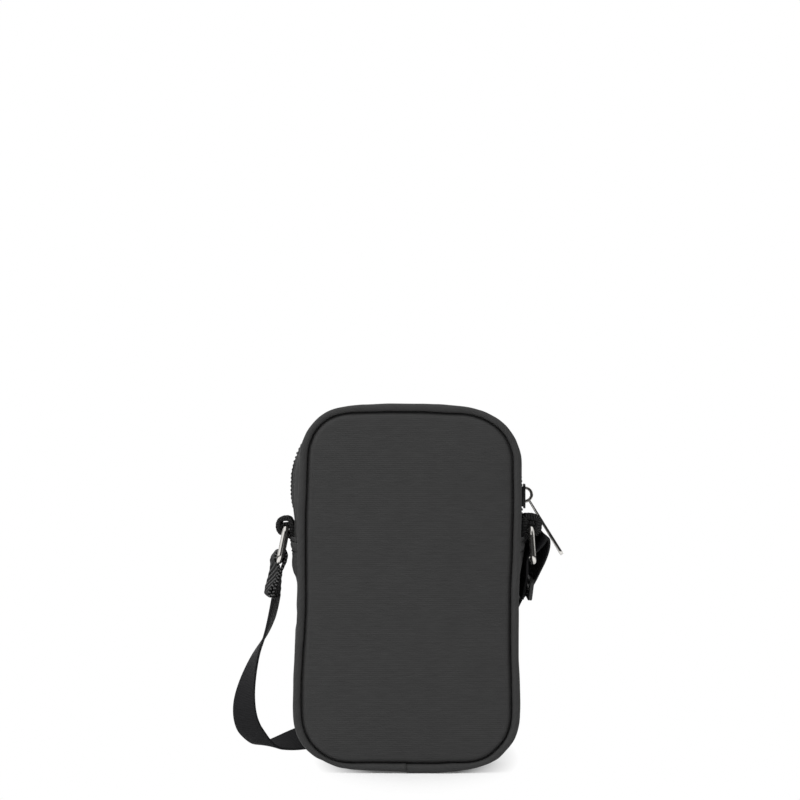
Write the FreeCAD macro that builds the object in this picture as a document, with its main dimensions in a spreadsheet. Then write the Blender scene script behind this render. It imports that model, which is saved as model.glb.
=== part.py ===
import FreeCAD
import Part
import Sketcher
import math
import os

os.makedirs("parts", exist_ok=True)
doc = FreeCAD.newDocument("phone_pouch")

# Driving sizes, lengths in millimetres and angles in degrees; one that starts with = follows from others
SIZES = (
    ("body_height", 180.0),
    ("body_width", 108.0),
    ("body_depth", 40.0),
    ("corner_radius", 27.0),
    ("panel_thickness", 3.2),
    ("panel_cloth", 0.8),
    ("panel_inset", 4.0),
    ("panel_edge_radius", 1.8),
    ("panel_rise", 0.5),
    ("padding_gap", 0.1),
    ("lining_cloth", 0.5),
    ("piping_radius", 1.9),
    ("piping_bore_radius", 1.3),
    ("piping_cord_radius", 1.25),
    ("flange_thickness", 1.2),
    ("flange_start", 3.0),
    ("seam_inset", 9.5),
    ("gusset_bulge", 2.5),
    ("gusset_cloth", 0.9),
    ("zip_drop", 65.0),
    ("zip_start", "=body_height - zip_drop"),
    ("zip_end_gap", 0.3),
    ("gusset_top", "=zip_start - zip_end_gap"),
    ("gusset_lining_gap", 0.1),
    ("gusset_lining_inset", "=gusset_cloth + tab_thickness + gusset_lining_gap"),
    ("gusset_lining_drop", 1.9),
    ("gusset_lining_top", "=gusset_top - gusset_lining_drop"),
    ("zip_strip_edge", 4.8),
    ("zip_tape_outer", 11.0),
    ("zip_tape_cloth", 0.5),
    ("zip_chain_outer", 3.1),
    ("zip_chain_inner", 0.5),
    ("zip_chain_rise", 1.1),
    ("zip_chain_sink", 1.3),
    ("zip_chain_from_end", 10.0),
    ("zip_chain_start", "=zip_start + zip_chain_from_end"),
    ("slider_from_end", 13.2),
    ("slider_bottom", "=zip_start + slider_from_end"),
    ("slider_length", 12.0),
    ("slider_half_width", 4.2),
    ("slider_corner", 1.4),
    ("slider_plate", 1.1),
    ("slider_running_gap", 0.15),
    ("slider_wall", 0.8),
    ("slider_wall_height", 1.4),
    ("slider_inner_gap", 0.2),
    ("slider_post_half", 0.35),
    ("slider_post_length", 3.0),
    ("bail_thickness", 0.9),
    ("bail_half_width", 1.0),
    ("bail_opening", 1.6),
    ("bail_bottom", 2.8),
    ("bail_top", 10.6),
    ("bail_corner", 0.8),
    ("pull_length", 31.5),
    ("pull_half_width", 3.5),
    ("pull_corner", 2.2),
    ("pull_thickness", 0.9),
    ("pull_slot_half", 1.5),
    ("pull_slot_length", 3.4),
    ("pull_seat_gap", 0.15),
    ("tab_half_width", 6.25),
    ("tab_thickness", 1.7),
    ("tab_tail_length", 10.0),
    ("tab_stem_gap", 0.08),
    ("tab_notch_gap", 0.5),
    ("tab_inner_leg", 1.15),
    ("tab_outer_leg", 7.9),
    ("tab_rise", 2.4),
    ("tab_loop_height", 11.4),
    ("tab_corner", 2.6),
    ("tab_bend", 1.15),
    ("ring_half_width", 9.75),
    ("ring_height", 16.5),
    ("ring_corner", 3.0),
    ("ring_wire_radius", 1.5),
    ("ring_seat_gap", 0.15),
    ("ring_reach", 3.75),
    ("ring_bar_height", "=gusset_top - tab_stem_gap / 2 + tab_rise + ring_seat_gap + ring_wire_radius"),
    ("ring_bar_reach", "=body_width / 2 + gusset_bulge + ring_reach"),
    ("left_ring_lean", 11.3),
    ("right_ring_lean", 4.0),
    ("strap_width", 15.0),
    ("strap_thickness", 1.3),
    ("left_loop_lean", 8.5),
    ("left_loop_length", 18.0),
    ("left_loop_tail", 17.5),
    ("left_loop_neck", 8.0),
    ("left_loop_shoulder", 2.5),
    ("left_loop_layer", 0.7),
    ("loop_bar_gap", 0.3),
    ("loop_bend", 3.0),
    ("right_loop_drop", 8.7),
    ("right_loop_height", "=ring_bar_height - right_loop_drop"),
    ("right_loop_shift", 1.8),
    ("right_loop_reach", "=ring_bar_reach + right_loop_shift"),
    ("right_loop_lean", 5.5),
    ("right_loop_tilt", 30.0),
    ("right_loop_inner", 3.3),
    ("right_loop_outer", 4.6),
    ("right_loop_leg", 1.95),
    ("right_loop_shoulder", 6.0),
    ("right_loop_waist", 17.0),
    ("right_loop_bend", 3.6),
    ("adjuster_drop", 24.0),
    ("adjuster_half_width", 10.5),
    ("adjuster_half_height", 5.5),
    ("adjuster_thickness", 2.0),
    ("adjuster_corner", 1.6),
    ("adjuster_slot_half_width", 7.8),
    ("adjuster_bar_half", 1.1),
    ("adjuster_slot_end", 3.9),
    ("hank_first_line", 57.0),
    ("hank_spacing", 5.6),
    ("hank_half_length", 45.0),
    ("hank_entry", 46.0),
    ("hank_exit_radius", 8.0),
    ("hank_exit_side", 50.0),
    ("hank_exit_end", 85.0),
    ("overrun", 5.0),
)
HANK_LINES = 9
HANK_POINTS = 900

sheet = doc.addObject("Spreadsheet::Sheet", "sizes")
for row, (alias, number) in enumerate(SIZES, start=1):
    sheet.set("A%d" % row, alias)
    sheet.set("B%d" % row, str(number))
    sheet.setAlias("B%d" % row, alias)
doc.recompute()


def size(alias):
    return float(sheet.get(alias))


def value(expression):
    result = sheet.evalExpression(expression)
    return float(getattr(result, "Value", result))


def vector(x, y, z):
    return FreeCAD.Vector(x, y, z)


# Bodies, sketches and features
nodes = []


def new_body(label):
    body = doc.addObject("PartDesign::Body", label)
    body.Label = label
    nodes.append(body)
    return body


def plane(body, role):
    return [item for item in body.Origin.OriginFeatures if item.Role == role][0]


def new_sketch(body, name, role, lift="0"):
    sketch = body.newObject("Sketcher::SketchObject", body.Label + "_" + name)
    sketch.AttachmentSupport = [(plane(body, role), "")]
    sketch.MapMode = "FlatFace"
    sketch.setExpression("AttachmentOffset.Base.z", lift)
    return sketch


def bind(sketch, constraint, expression):
    index = sketch.addConstraint(constraint)
    sketch.setExpression("Constraints[%d]" % index, expression)


def fix_line(sketch, line, kind, expression):
    # A level line is held by its height, an upright line by its distance from the middle
    axis = -1 if kind == "DistanceY" else -2
    number = value(expression)
    if number > 0:
        bind(sketch, Sketcher.Constraint(kind, -1, 1, line, 1, number), expression)
    elif number < 0:
        bind(sketch, Sketcher.Constraint(kind, line, 1, -1, 1, -number), "-(%s)" % expression)
    else:
        sketch.addConstraint(Sketcher.Constraint("PointOnObject", line, 1, axis))


def outline(sketch, corners):
    """Closed outline of level and upright lines; each corner is (across, up, radius or None)."""
    count = len(corners)
    points = [vector(value(across), value(up), 0) for across, up, radius in corners]
    radii = [value(radius) if radius else 0 for across, up, radius in corners]
    ways = [(points[(i + 1) % count] - points[i]).normalize() for i in range(count)]
    lines = []
    for i in range(count):
        after = (i + 1) % count
        start = points[i] + ways[i] * radii[i]
        end = points[after] - ways[i] * radii[after]
        lines.append(sketch.addGeometry(Part.LineSegment(start, end)))
    for i in range(count):
        across, up, radius = corners[i]
        if abs(ways[i].x) > abs(ways[i].y):
            sketch.addConstraint(Sketcher.Constraint("Horizontal", lines[i]))
            fix_line(sketch, lines[i], "DistanceY", up)
        else:
            sketch.addConstraint(Sketcher.Constraint("Vertical", lines[i]))
            fix_line(sketch, lines[i], "DistanceX", across)
    for i in range(count):
        before = lines[i - 1]
        if not radii[i]:
            sketch.addConstraint(Sketcher.Constraint("Coincident", before, 2, lines[i], 1))
            continue
        incoming, outgoing = ways[i - 1], ways[i]
        centre = points[i] + (outgoing - incoming) * radii[i]
        left_turn = incoming.x * outgoing.y - incoming.y * outgoing.x > 0
        first = points[i] - incoming * radii[i] - centre
        last = points[i] + outgoing * radii[i] - centre
        if not left_turn:
            first, last = last, first
        begin = math.atan2(first.y, first.x)
        finish = begin + math.pi / 2
        circle = Part.Circle(centre, vector(0, 0, 1), radii[i])
        arc = sketch.addGeometry(Part.ArcOfCircle(circle, begin, finish))
        near, far = (1, 2) if left_turn else (2, 1)
        sketch.addConstraint(Sketcher.Constraint("Tangent", before, 2, arc, near))
        sketch.addConstraint(Sketcher.Constraint("Tangent", arc, far, lines[i], 1))
        bind(sketch, Sketcher.Constraint("Radius", arc, radii[i]), corners[i][2])


def disc(sketch, across, up, radius):
    centre = vector(value(across), value(up), 0)
    circle = sketch.addGeometry(Part.Circle(centre, vector(0, 0, 1), value(radius)))
    bind(sketch, Sketcher.Constraint("Radius", circle, value(radius)), radius)
    for kind, axis, expression in (("DistanceX", -2, across), ("DistanceY", -1, up)):
        number = value(expression)
        if number > 0:
            bind(sketch, Sketcher.Constraint(kind, -1, 1, circle, 3, number), expression)
        elif number < 0:
            bind(sketch, Sketcher.Constraint(kind, circle, 3, -1, 1, -number), "-(%s)" % expression)
        else:
            sketch.addConstraint(Sketcher.Constraint("PointOnObject", circle, 3, axis))


def pad(body, sketch, name, length, middle=False, back=False):
    feature = body.newObject("PartDesign::Pad", body.Label + "_" + name)
    feature.Profile = sketch
    feature.setExpression("Length", length)
    feature.Midplane = middle
    feature.Reversed = back
    doc.recompute()
    return feature


def pocket(body, sketch, name, length, middle=False, back=False):
    feature = body.newObject("PartDesign::Pocket", body.Label + "_" + name)
    feature.Profile = sketch
    feature.setExpression("Length", length)
    feature.Midplane = middle
    feature.Reversed = back
    doc.recompute()
    return feature


def pipe(body, profile, path, name, cut=False):
    kind = "PartDesign::SubtractivePipe" if cut else "PartDesign::AdditivePipe"
    feature = body.newObject(kind, body.Label + "_" + name)
    feature.Profile = profile
    feature.Spine = (path, [])
    doc.recompute()
    return feature


def mirror(source, label, normal):
    copy = doc.addObject("Part::Mirroring", label)
    copy.Label = label
    copy.Source = source
    copy.Normal = normal
    doc.recompute()
    nodes.append(copy)
    return copy


def solid_node(label, shape, placement=None):
    feature = doc.addObject("Part::Feature", label)
    feature.Label = label
    feature.Shape = shape
    if placement:
        feature.Placement = placement.multiply(shape.Placement)
    nodes.append(feature)
    return feature


# Levels and outlines shared by several pieces
FRONT = "sizes.body_depth / 2"
PANEL_BACK = "(sizes.body_depth / 2 - sizes.panel_thickness)"
SEAM = "(sizes.body_depth / 2 - sizes.panel_thickness - sizes.flange_thickness)"
PIPING = "(sizes.body_depth / 2 - sizes.panel_rise - sizes.piping_radius)"
SIDE = "(sizes.body_width / 2 + sizes.gusset_bulge)"
REAR = vector(0, 1, 0)
LEFT = vector(1, 0, 0)


def panel_corners(inset):
    half = "(sizes.body_width / 2 - %s)" % inset
    low = inset
    high = "(sizes.body_height - %s)" % inset
    radius = "(sizes.corner_radius - %s)" % inset
    return [
        ("-" + half, low, radius),
        (half, low, radius),
        (half, high, radius),
        ("-" + half, high, radius),
    ]


def gusset_corners(inset):
    half = "(%s - %s)" % (SIDE, inset)
    high = "(sizes.body_height - %s)" % inset
    radius = "(sizes.corner_radius - %s)" % inset
    return [
        ("-" + half, inset, radius),
        (half, inset, radius),
        (half, high, radius),
        ("-" + half, high, radius),
    ]


def upper_part(corners, end):
    """The part of a rounded outline above a level, walked from right end to left end."""
    right, left = corners[2], corners[3]
    return [(right[0], end, None), right, left, (left[0], end, None)]


def lower_part(corners, end):
    """The part of a rounded outline below a level, walked from left end to right end."""
    left, right = corners[0], corners[1]
    return [(left[0], end, None), left, right, (right[0], end, None)]


# Front panel, its padding and its lining
body = new_body("front_panel")
sketch = new_sketch(body, "shape", "XZ_Plane", PANEL_BACK)
outline(sketch, panel_corners("sizes.panel_inset"))
block = pad(body, sketch, "block", "sizes.panel_thickness")
front_edges = []
for number, edge in enumerate(block.Shape.Edges, start=1):
    box = edge.BoundBox
    if box.YMax < -value(FRONT) + size("panel_cloth") / 2:
        front_edges.append("Edge%d" % number)
rounding = body.newObject("PartDesign::Fillet", "front_panel_rounding")
rounding.Base = (block, front_edges)
rounding.setExpression("Radius", "sizes.panel_edge_radius")
doc.recompute()
sketch = new_sketch(body, "hollow_shape", "XZ_Plane", PANEL_BACK)
outline(sketch, panel_corners("(sizes.panel_inset + sizes.panel_cloth)"))
pocket(body, sketch, "hollow", "sizes.panel_thickness - sizes.panel_cloth", back=True)
front_panel = body

PADDED = "(sizes.panel_inset + sizes.panel_cloth + sizes.padding_gap)"
body = new_body("front_padding")
sketch = new_sketch(body, "shape", "XZ_Plane", PANEL_BACK + " + sizes.lining_cloth")
outline(sketch, panel_corners(PADDED))
pad(body, sketch, "block", "sizes.panel_thickness - sizes.panel_cloth - sizes.lining_cloth")
front_padding = body

body = new_body("front_lining")
sketch = new_sketch(body, "shape", "XZ_Plane", PANEL_BACK)
outline(sketch, panel_corners(PADDED))
pad(body, sketch, "sheet", "sizes.lining_cloth")
front_lining = body

# Front piping: a cloth tube with its seam flange, and the cord inside it
body = new_body("front_piping_cover")
path = new_sketch(body, "path", "XZ_Plane", PIPING)
outline(path, panel_corners("sizes.piping_radius"))
ring = new_sketch(body, "ring", "YZ_Plane")
disc(ring, "-" + PIPING, "sizes.piping_radius", "sizes.piping_radius")
pipe(body, ring, path, "tube")
sketch = new_sketch(body, "flange_shape", "XZ_Plane", SEAM)
outline(sketch, panel_corners("sizes.flange_start"))
outline(sketch, panel_corners("sizes.seam_inset"))
pad(body, sketch, "flange", "sizes.flange_thickness")
bore = new_sketch(body, "bore_ring", "YZ_Plane")
disc(bore, "-" + PIPING, "sizes.piping_radius", "sizes.piping_bore_radius")
pipe(body, bore, path, "bore", cut=True)
front_piping_cover = body

body = new_body("front_piping_cord")
path = new_sketch(body, "path", "XZ_Plane", PIPING)
outline(path, panel_corners("sizes.piping_radius"))
ring = new_sketch(body, "ring", "YZ_Plane")
disc(ring, "-" + PIPING, "sizes.piping_radius", "sizes.piping_cord_radius")
pipe(body, ring, path, "cord")
front_piping_cord = body

# Lower gusset: one band round the bottom with a seam lip along each edge
LIP = "(%s - sizes.gusset_cloth)" % SEAM
NOTCH_LOW = "(sizes.gusset_top - sizes.tab_thickness - sizes.tab_notch_gap)"
body = new_body("lower_gusset")
sketch = new_sketch(body, "shape", "XZ_Plane")
outer = lower_part(gusset_corners("0"), "sizes.gusset_top")
inner = lower_part(panel_corners("sizes.seam_inset"), "sizes.gusset_top")
outline(sketch, outer + inner[::-1])
pad(body, sketch, "block", "2 * " + SEAM, middle=True)
sketch = new_sketch(body, "hollow_shape", "XZ_Plane")
outline(sketch, gusset_corners("sizes.gusset_cloth"))
pocket(body, sketch, "hollow", "2 * " + LIP, middle=True)
sketch = new_sketch(body, "notch_shape", "YZ_Plane")
NOTCH = "(sizes.tab_half_width + sizes.tab_stem_gap)"
outline(sketch, [
    ("-" + NOTCH, NOTCH_LOW, None),
    (NOTCH, NOTCH_LOW, None),
    (NOTCH, "sizes.gusset_top + sizes.overrun", None),
    ("-" + NOTCH, "sizes.gusset_top + sizes.overrun", None),
])
pocket(body, sketch, "notch", "2 * %s + 2 * sizes.overrun" % SIDE, middle=True)

body = new_body("gusset_lining")
sketch = new_sketch(body, "shape", "XZ_Plane")
outer = lower_part(gusset_corners("sizes.gusset_lining_inset"), "sizes.gusset_lining_top")
inner = lower_part(panel_corners("sizes.seam_inset"), "sizes.gusset_lining_top")
outline(sketch, outer + inner[::-1])
pad(body, sketch, "block", "2 * " + LIP, middle=True)
sketch = new_sketch(body, "hollow_shape", "XZ_Plane")
outline(sketch, gusset_corners("(sizes.gusset_lining_inset + sizes.lining_cloth)"))
pocket(body, sketch, "hollow", "2 * (%s - sizes.lining_cloth)" % LIP, middle=True)

# Upper gusset strip, zip tape and zip chain in front of the zip line
body = new_body("upper_gusset_front")
sketch = new_sketch(body, "shape", "XZ_Plane", SEAM)
outer = upper_part(gusset_corners("0"), "sizes.zip_start")
inner = upper_part(panel_corners("sizes.seam_inset"), "sizes.zip_start")
outline(sketch, outer + inner[::-1])
pad(body, sketch, "block", SEAM + " - sizes.zip_strip_edge", back=True)
sketch = new_sketch(body, "hollow_shape", "XZ_Plane", LIP)
outline(sketch, gusset_corners("sizes.gusset_cloth"))
pocket(body, sketch, "hollow", LIP)
upper_gusset_front = body

body = new_body("zip_tape_front")
sketch = new_sketch(body, "shape", "XZ_Plane", "sizes.zip_tape_outer")
outer = upper_part(gusset_corners("sizes.gusset_cloth"), "sizes.zip_start")
inner = upper_part(gusset_corners("(sizes.gusset_cloth + sizes.zip_tape_cloth)"), "sizes.zip_start")
outline(sketch, outer + inner[::-1])
pad(body, sketch, "band", "sizes.zip_tape_outer - sizes.zip_chain_outer", back=True)
zip_tape_front = body

body = new_body("zip_chain_front")
sketch = new_sketch(body, "shape", "XZ_Plane", "sizes.zip_chain_outer")
outer = upper_part(gusset_corners("(-sizes.zip_chain_rise)"), "sizes.zip_chain_start")
inner = upper_part(gusset_corners("sizes.zip_chain_sink"), "sizes.zip_chain_start")
outline(sketch, outer + inner[::-1])
pad(body, sketch, "row", "sizes.zip_chain_outer - sizes.zip_chain_inner", back=True)
zip_chain_front = body

# Rear half of the pouch
mirror(front_panel, "rear_panel", REAR)
mirror(front_padding, "rear_padding", REAR)
mirror(front_lining, "rear_lining", REAR)
mirror(front_piping_cover, "rear_piping_cover", REAR)
mirror(front_piping_cord, "rear_piping_cord", REAR)
mirror(upper_gusset_front, "upper_gusset_rear", REAR)
mirror(zip_tape_front, "zip_tape_rear", REAR)
mirror(zip_chain_front, "zip_chain_rear", REAR)

# Slider on the right side: outer plate with side walls, post and inner plate
CHAIN_TOP = "(%s + sizes.zip_chain_rise)" % SIDE
PLATE_LOW = "(%s + sizes.slider_running_gap)" % CHAIN_TOP
PLATE_TOP = "(%s + sizes.slider_plate)" % PLATE_LOW
SLIDER_TOP = "(sizes.slider_bottom + sizes.slider_length)"


def plate_corners(half):
    return [
        ("-" + half, "sizes.slider_bottom", "sizes.slider_corner"),
        (half, "sizes.slider_bottom", "sizes.slider_corner"),
        (half, SLIDER_TOP, "sizes.slider_corner"),
        ("-" + half, SLIDER_TOP, "sizes.slider_corner"),
    ]


def wall_corners(near, far):
    low = "(sizes.slider_bottom + sizes.slider_corner)"
    high = "(%s - sizes.slider_corner)" % SLIDER_TOP
    return [(near, low, None), (far, low, None), (far, high, None), (near, high, None)]


INNER_FACE = "(%s - sizes.gusset_cloth - sizes.zip_tape_cloth - sizes.slider_inner_gap)" % SIDE
WALL = "(sizes.slider_half_width - sizes.slider_wall)"
POST_LOW = "(sizes.slider_bottom + sizes.slider_wall)"
POST_HIGH = "(sizes.slider_bottom + sizes.slider_post_length)"
body = new_body("slider_body")
sketch = new_sketch(body, "outer_shape", "YZ_Plane", PLATE_LOW)
outline(sketch, plate_corners("sizes.slider_half_width"))
pad(body, sketch, "outer_plate", "sizes.slider_plate")
sketch = new_sketch(body, "wall_shape", "YZ_Plane", PLATE_LOW)
outline(sketch, wall_corners(WALL, "sizes.slider_half_width"))
outline(sketch, wall_corners("-sizes.slider_half_width", "-" + WALL))
pad(body, sketch, "walls", "sizes.slider_wall_height", back=True)
sketch = new_sketch(body, "post_shape", "YZ_Plane", PLATE_LOW)
outline(sketch, [
    ("-sizes.slider_post_half", POST_LOW, None),
    ("sizes.slider_post_half", POST_LOW, None),
    ("sizes.slider_post_half", POST_HIGH, None),
    ("-sizes.slider_post_half", POST_HIGH, None),
])
pad(body, sketch, "post", "%s - %s" % (PLATE_LOW, INNER_FACE), back=True)
sketch = new_sketch(body, "inner_shape", "YZ_Plane", INNER_FACE)
outline(sketch, plate_corners("sizes.slider_half_width"))
pad(body, sketch, "inner_plate", "sizes.slider_plate", back=True)


# Bands of webbing and bent strip, drawn on their middle line
def band_face(points, radii, half):
    """Face of even thickness along straight runs joined by arcs, its middle line and its length."""
    ways = [(points[i + 1] - points[i]).normalize() for i in range(len(points) - 1)]
    sides = ([], [], [])
    shifts = (half, 0, -half)
    length = 0

    def shifted(point, way, side):
        return point + vector(-way.y, way.x, 0) * side

    start = points[0]
    for i, way in enumerate(ways):
        end = points[i + 1]
        last = i == len(ways) - 1
        if not last:
            after = ways[i + 1]
            turn = math.atan2(way.x * after.y - way.y * after.x, way.dot(after))
            cut = radii[i] * math.tan(abs(turn) / 2)
            end = end - way * cut
        length += (end - start).dot(way)
        for edges, side in zip(sides, shifts):
            first, second = shifted(start, way, side), shifted(end, way, side)
            if (second - first).dot(way) > half * 1e-6:
                edges.append(Part.LineSegment(first, second).toShape())
        if last:
            break
        begin = points[i + 1] + after * cut
        left = math.copysign(1, turn)
        centre = end + vector(-way.y, way.x, 0) * radii[i] * left
        half_way = FreeCAD.Rotation(vector(0, 0, 1), math.degrees(turn / 2)).multVec(way)
        middle = centre - vector(-half_way.y, half_way.x, 0) * radii[i] * left
        for edges, side in zip(sides, shifts):
            ends = shifted(end, way, side), shifted(begin, after, side)
            edges.append(Part.Arc(ends[0], shifted(middle, half_way, side), ends[1]).toShape())
        length += radii[i] * abs(turn)
        start = begin
    first_way, last_way = ways[0], ways[-1]
    caps = []
    for point, way in ((points[0], first_way), (points[-1], last_way)):
        caps.append(Part.LineSegment(shifted(point, way, half), shifted(point, way, -half)).toShape())
    wire = Part.Wire(Part.__sortEdges__(sides[0] + sides[2] + caps))
    return Part.Face(wire), Part.Wire(sides[1]), length


def flat(pairs):
    return [vector(across, up, 0) for across, up in pairs]


# A drawing laid in the upright plane facing the front, its width along the depth
def upright_band(pairs, radii, thickness, half_width):
    face, middle, length = band_face(flat(pairs), radii, thickness / 2)
    shape = face.extrude(vector(0, 0, 2 * half_width))
    shape.translate(vector(0, 0, -half_width))
    shape.rotate(vector(0, 0, 0), vector(1, 0, 0), 90)
    return shape, length


# Bail of the slider
plate_top = value(PLATE_TOP)
bail_half = size("bail_thickness") / 2
bail_out = plate_top + size("bail_opening") + bail_half
bail_low = size("slider_bottom") + size("bail_bottom")
bail_high = size("slider_bottom") + size("bail_top")
shape, length = upright_band(
    [(plate_top, bail_high), (bail_out, bail_high), (bail_out, bail_low), (plate_top, bail_low)],
    [size("bail_corner")] * 2,
    size("bail_thickness"),
    size("bail_half_width"),
)
solid_node("slider_bail", shape)

# Webbing tabs: a tail behind the gusset cloth, a stem through its notch that rises into a closed loop
side = value(SIDE)
tab_half = size("tab_thickness") / 2
tail_x = side - size("gusset_cloth") - tab_half
stem_z = size("gusset_top") - tab_half - size("tab_stem_gap") / 2
outer_x = side + size("tab_outer_leg")
inner_x = side + size("tab_inner_leg")
loop_floor = stem_z + size("tab_rise")
loop_top = stem_z - tab_half + size("tab_loop_height") - tab_half
tab_bend, tab_corner = size("tab_bend"), size("tab_corner")
shape, length = upright_band(
    [
        (tail_x, stem_z - size("tab_tail_length")),
        (tail_x, stem_z),
        (inner_x, stem_z),
        (inner_x, loop_floor),
        (outer_x, loop_floor),
        (outer_x, loop_top),
        (inner_x, loop_top),
        (inner_x, loop_floor + tab_half + size("tab_stem_gap")),
    ],
    [tab_bend, tab_bend, tab_bend, tab_corner, tab_corner, tab_corner],
    size("tab_thickness"),
    size("tab_half_width"),
)
right_tab = solid_node("right_tab", shape)
mirror(right_tab, "left_tab", LEFT)
print("tab webbing length", round(length, 2))

# Rings: round wire bent to a rounded rectangle, hung with its upper bar in the tab
bar_x = size("ring_bar_reach")
bar_z = size("ring_bar_height")


def make_ring(label, reach, lean):
    body = new_body(label)
    path = new_sketch(body, "path", "YZ_Plane")
    outline(path, [
        ("-sizes.ring_half_width", "-sizes.ring_height", "sizes.ring_corner"),
        ("sizes.ring_half_width", "-sizes.ring_height", "sizes.ring_corner"),
        ("sizes.ring_half_width", "0", "sizes.ring_corner"),
        ("-sizes.ring_half_width", "0", "sizes.ring_corner"),
    ])
    wire = new_sketch(body, "wire", "XZ_Plane")
    disc(wire, "0", "-sizes.ring_height", "sizes.ring_wire_radius")
    pipe(body, wire, path, "bend")
    body.Placement = FreeCAD.Placement(vector(reach, 0, bar_z), FreeCAD.Rotation(vector(0, 1, 0), lean))
    doc.recompute()
    return body


make_ring("right_ring", bar_x, -size("right_ring_lean"))
make_ring("left_ring", -bar_x, size("left_ring_lean"))
print("ring bars", round(bar_x, 3), round(bar_z, 3))

# Zip pull: a flat blade hung on the bail and resting on the right tab
pivot_x = plate_top + size("bail_opening") / 2
pivot_z = bail_low + bail_half + size("bail_opening") / 2
corner_x = outer_x - tab_corner - pivot_x
corner_z = pivot_z - (loop_top - tab_corner)
reach = math.hypot(corner_x, corner_z)
clear = tab_corner + tab_half + size("pull_thickness") / 2 + size("pull_seat_gap")
pull_angle = math.degrees(math.atan2(corner_x, corner_z) + math.asin(clear / reach))
BAR = "(sizes.pull_thickness / 2)"
body = new_body("zip_pull")
sketch = new_sketch(body, "shape", "YZ_Plane")
outline(sketch, [
    ("-sizes.pull_half_width", "-sizes.pull_length", "sizes.pull_corner"),
    ("sizes.pull_half_width", "-sizes.pull_length", "sizes.pull_corner"),
    ("sizes.pull_half_width", BAR, None),
    ("-sizes.pull_half_width", BAR, None),
])
outline(sketch, [
    ("-sizes.pull_slot_half", "-%s - sizes.pull_slot_length" % BAR, None),
    ("sizes.pull_slot_half", "-%s - sizes.pull_slot_length" % BAR, None),
    ("sizes.pull_slot_half", "-" + BAR, None),
    ("-sizes.pull_slot_half", "-" + BAR, None),
])
pad(body, sketch, "blade", "sizes.pull_thickness", middle=True)
body.Placement = FreeCAD.Placement(
    vector(pivot_x, 0, pivot_z), FreeCAD.Rotation(vector(0, 1, 0), -pull_angle)
)
doc.recompute()
print("pull pivot", round(pivot_x, 3), round(pivot_z, 3), "angle", round(pull_angle, 2))

# Sewn loop of the strap on the left ring
lean = math.radians(size("left_ring_lean"))
left_bar = vector(
    -bar_x - size("ring_height") * math.sin(lean), 0, bar_z - size("ring_height") * math.cos(lean)
)
strap_half = size("strap_thickness") / 2
round_bar = size("ring_wire_radius") + size("loop_bar_gap") + strap_half
layer = size("left_loop_layer")
left_pairs = [
    (-layer, -size("left_loop_tail")),
    (-layer, -size("left_loop_neck")),
    (-round_bar, -size("left_loop_shoulder")),
    (-round_bar, round_bar),
    (round_bar, round_bar),
    (round_bar, -size("left_loop_shoulder")),
    (layer, -size("left_loop_neck")),
    (layer, -size("left_loop_length")),
]
bend = size("loop_bend")
shape, left_loop_length = upright_band(
    left_pairs,
    [bend, bend, round_bar, round_bar, bend, bend],
    size("strap_thickness"),
    size("strap_width") / 2,
)
left_turn = FreeCAD.Rotation(vector(0, 1, 0), size("left_loop_lean"))
solid_node("strap_left_loop", shape, FreeCAD.Placement(left_bar, left_turn))
left_exit = left_bar + left_turn.multVec(vector(layer, 0, -size("left_loop_length")))
print("left bar", left_bar, "left exit", left_exit)

# Doubled loop of the strap through the right ring, closed by the adjuster
right_turn = FreeCAD.Rotation(vector(0, 1, 0), size("right_loop_lean")).multiply(
    FreeCAD.Rotation(vector(1, 0, 0), size("right_loop_tilt"))
)
right_top = vector(size("right_loop_reach"), 0, size("right_loop_height"))
leg = size("right_loop_leg")
run_start = size("adjuster_drop") + size("adjuster_half_height")
right_pairs = [
    (-leg, -size("adjuster_drop")),
    (-leg, -size("right_loop_waist")),
    (-size("right_loop_inner"), -size("right_loop_shoulder")),
    (-size("right_loop_inner"), 0),
    (size("right_loop_outer"), 0),
    (size("right_loop_outer"), -size("right_loop_shoulder")),
    (leg, -size("right_loop_waist")),
    (leg, -run_start),
]
bend = size("right_loop_bend")
shape, right_loop_length = upright_band(
    right_pairs,
    [bend, bend, bend, bend, bend, bend],
    size("strap_thickness"),
    size("strap_width") / 2,
)
solid_node("strap_right_loop", shape, FreeCAD.Placement(right_top, right_turn))
right_exit = right_top + right_turn.multVec(vector(leg, 0, -run_start))
print("right exit", right_exit, "adjuster down", right_turn.multVec(vector(0, 0, -1)))

body = new_body("strap_adjuster")
sketch = new_sketch(body, "shape", "YZ_Plane")
outline(sketch, [
    ("-sizes.adjuster_half_width", "-sizes.adjuster_half_height", "sizes.adjuster_corner"),
    ("sizes.adjuster_half_width", "-sizes.adjuster_half_height", "sizes.adjuster_corner"),
    ("sizes.adjuster_half_width", "sizes.adjuster_half_height", "sizes.adjuster_corner"),
    ("-sizes.adjuster_half_width", "sizes.adjuster_half_height", "sizes.adjuster_corner"),
])
for low, high in (("sizes.adjuster_bar_half", "sizes.adjuster_slot_end"),
                  ("-sizes.adjuster_slot_end", "-sizes.adjuster_bar_half")):
    outline(sketch, [
        ("-sizes.adjuster_slot_half_width", low, None),
        ("sizes.adjuster_slot_half_width", low, None),
        ("sizes.adjuster_slot_half_width", high, None),
        ("-sizes.adjuster_slot_half_width", high, None),
    ])
pad(body, sketch, "frame", "sizes.adjuster_thickness", middle=True)
body.Placement = FreeCAD.Placement(
    right_top + right_turn.multVec(vector(0, 0, -size("adjuster_drop"))), right_turn
)
doc.recompute()

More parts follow.
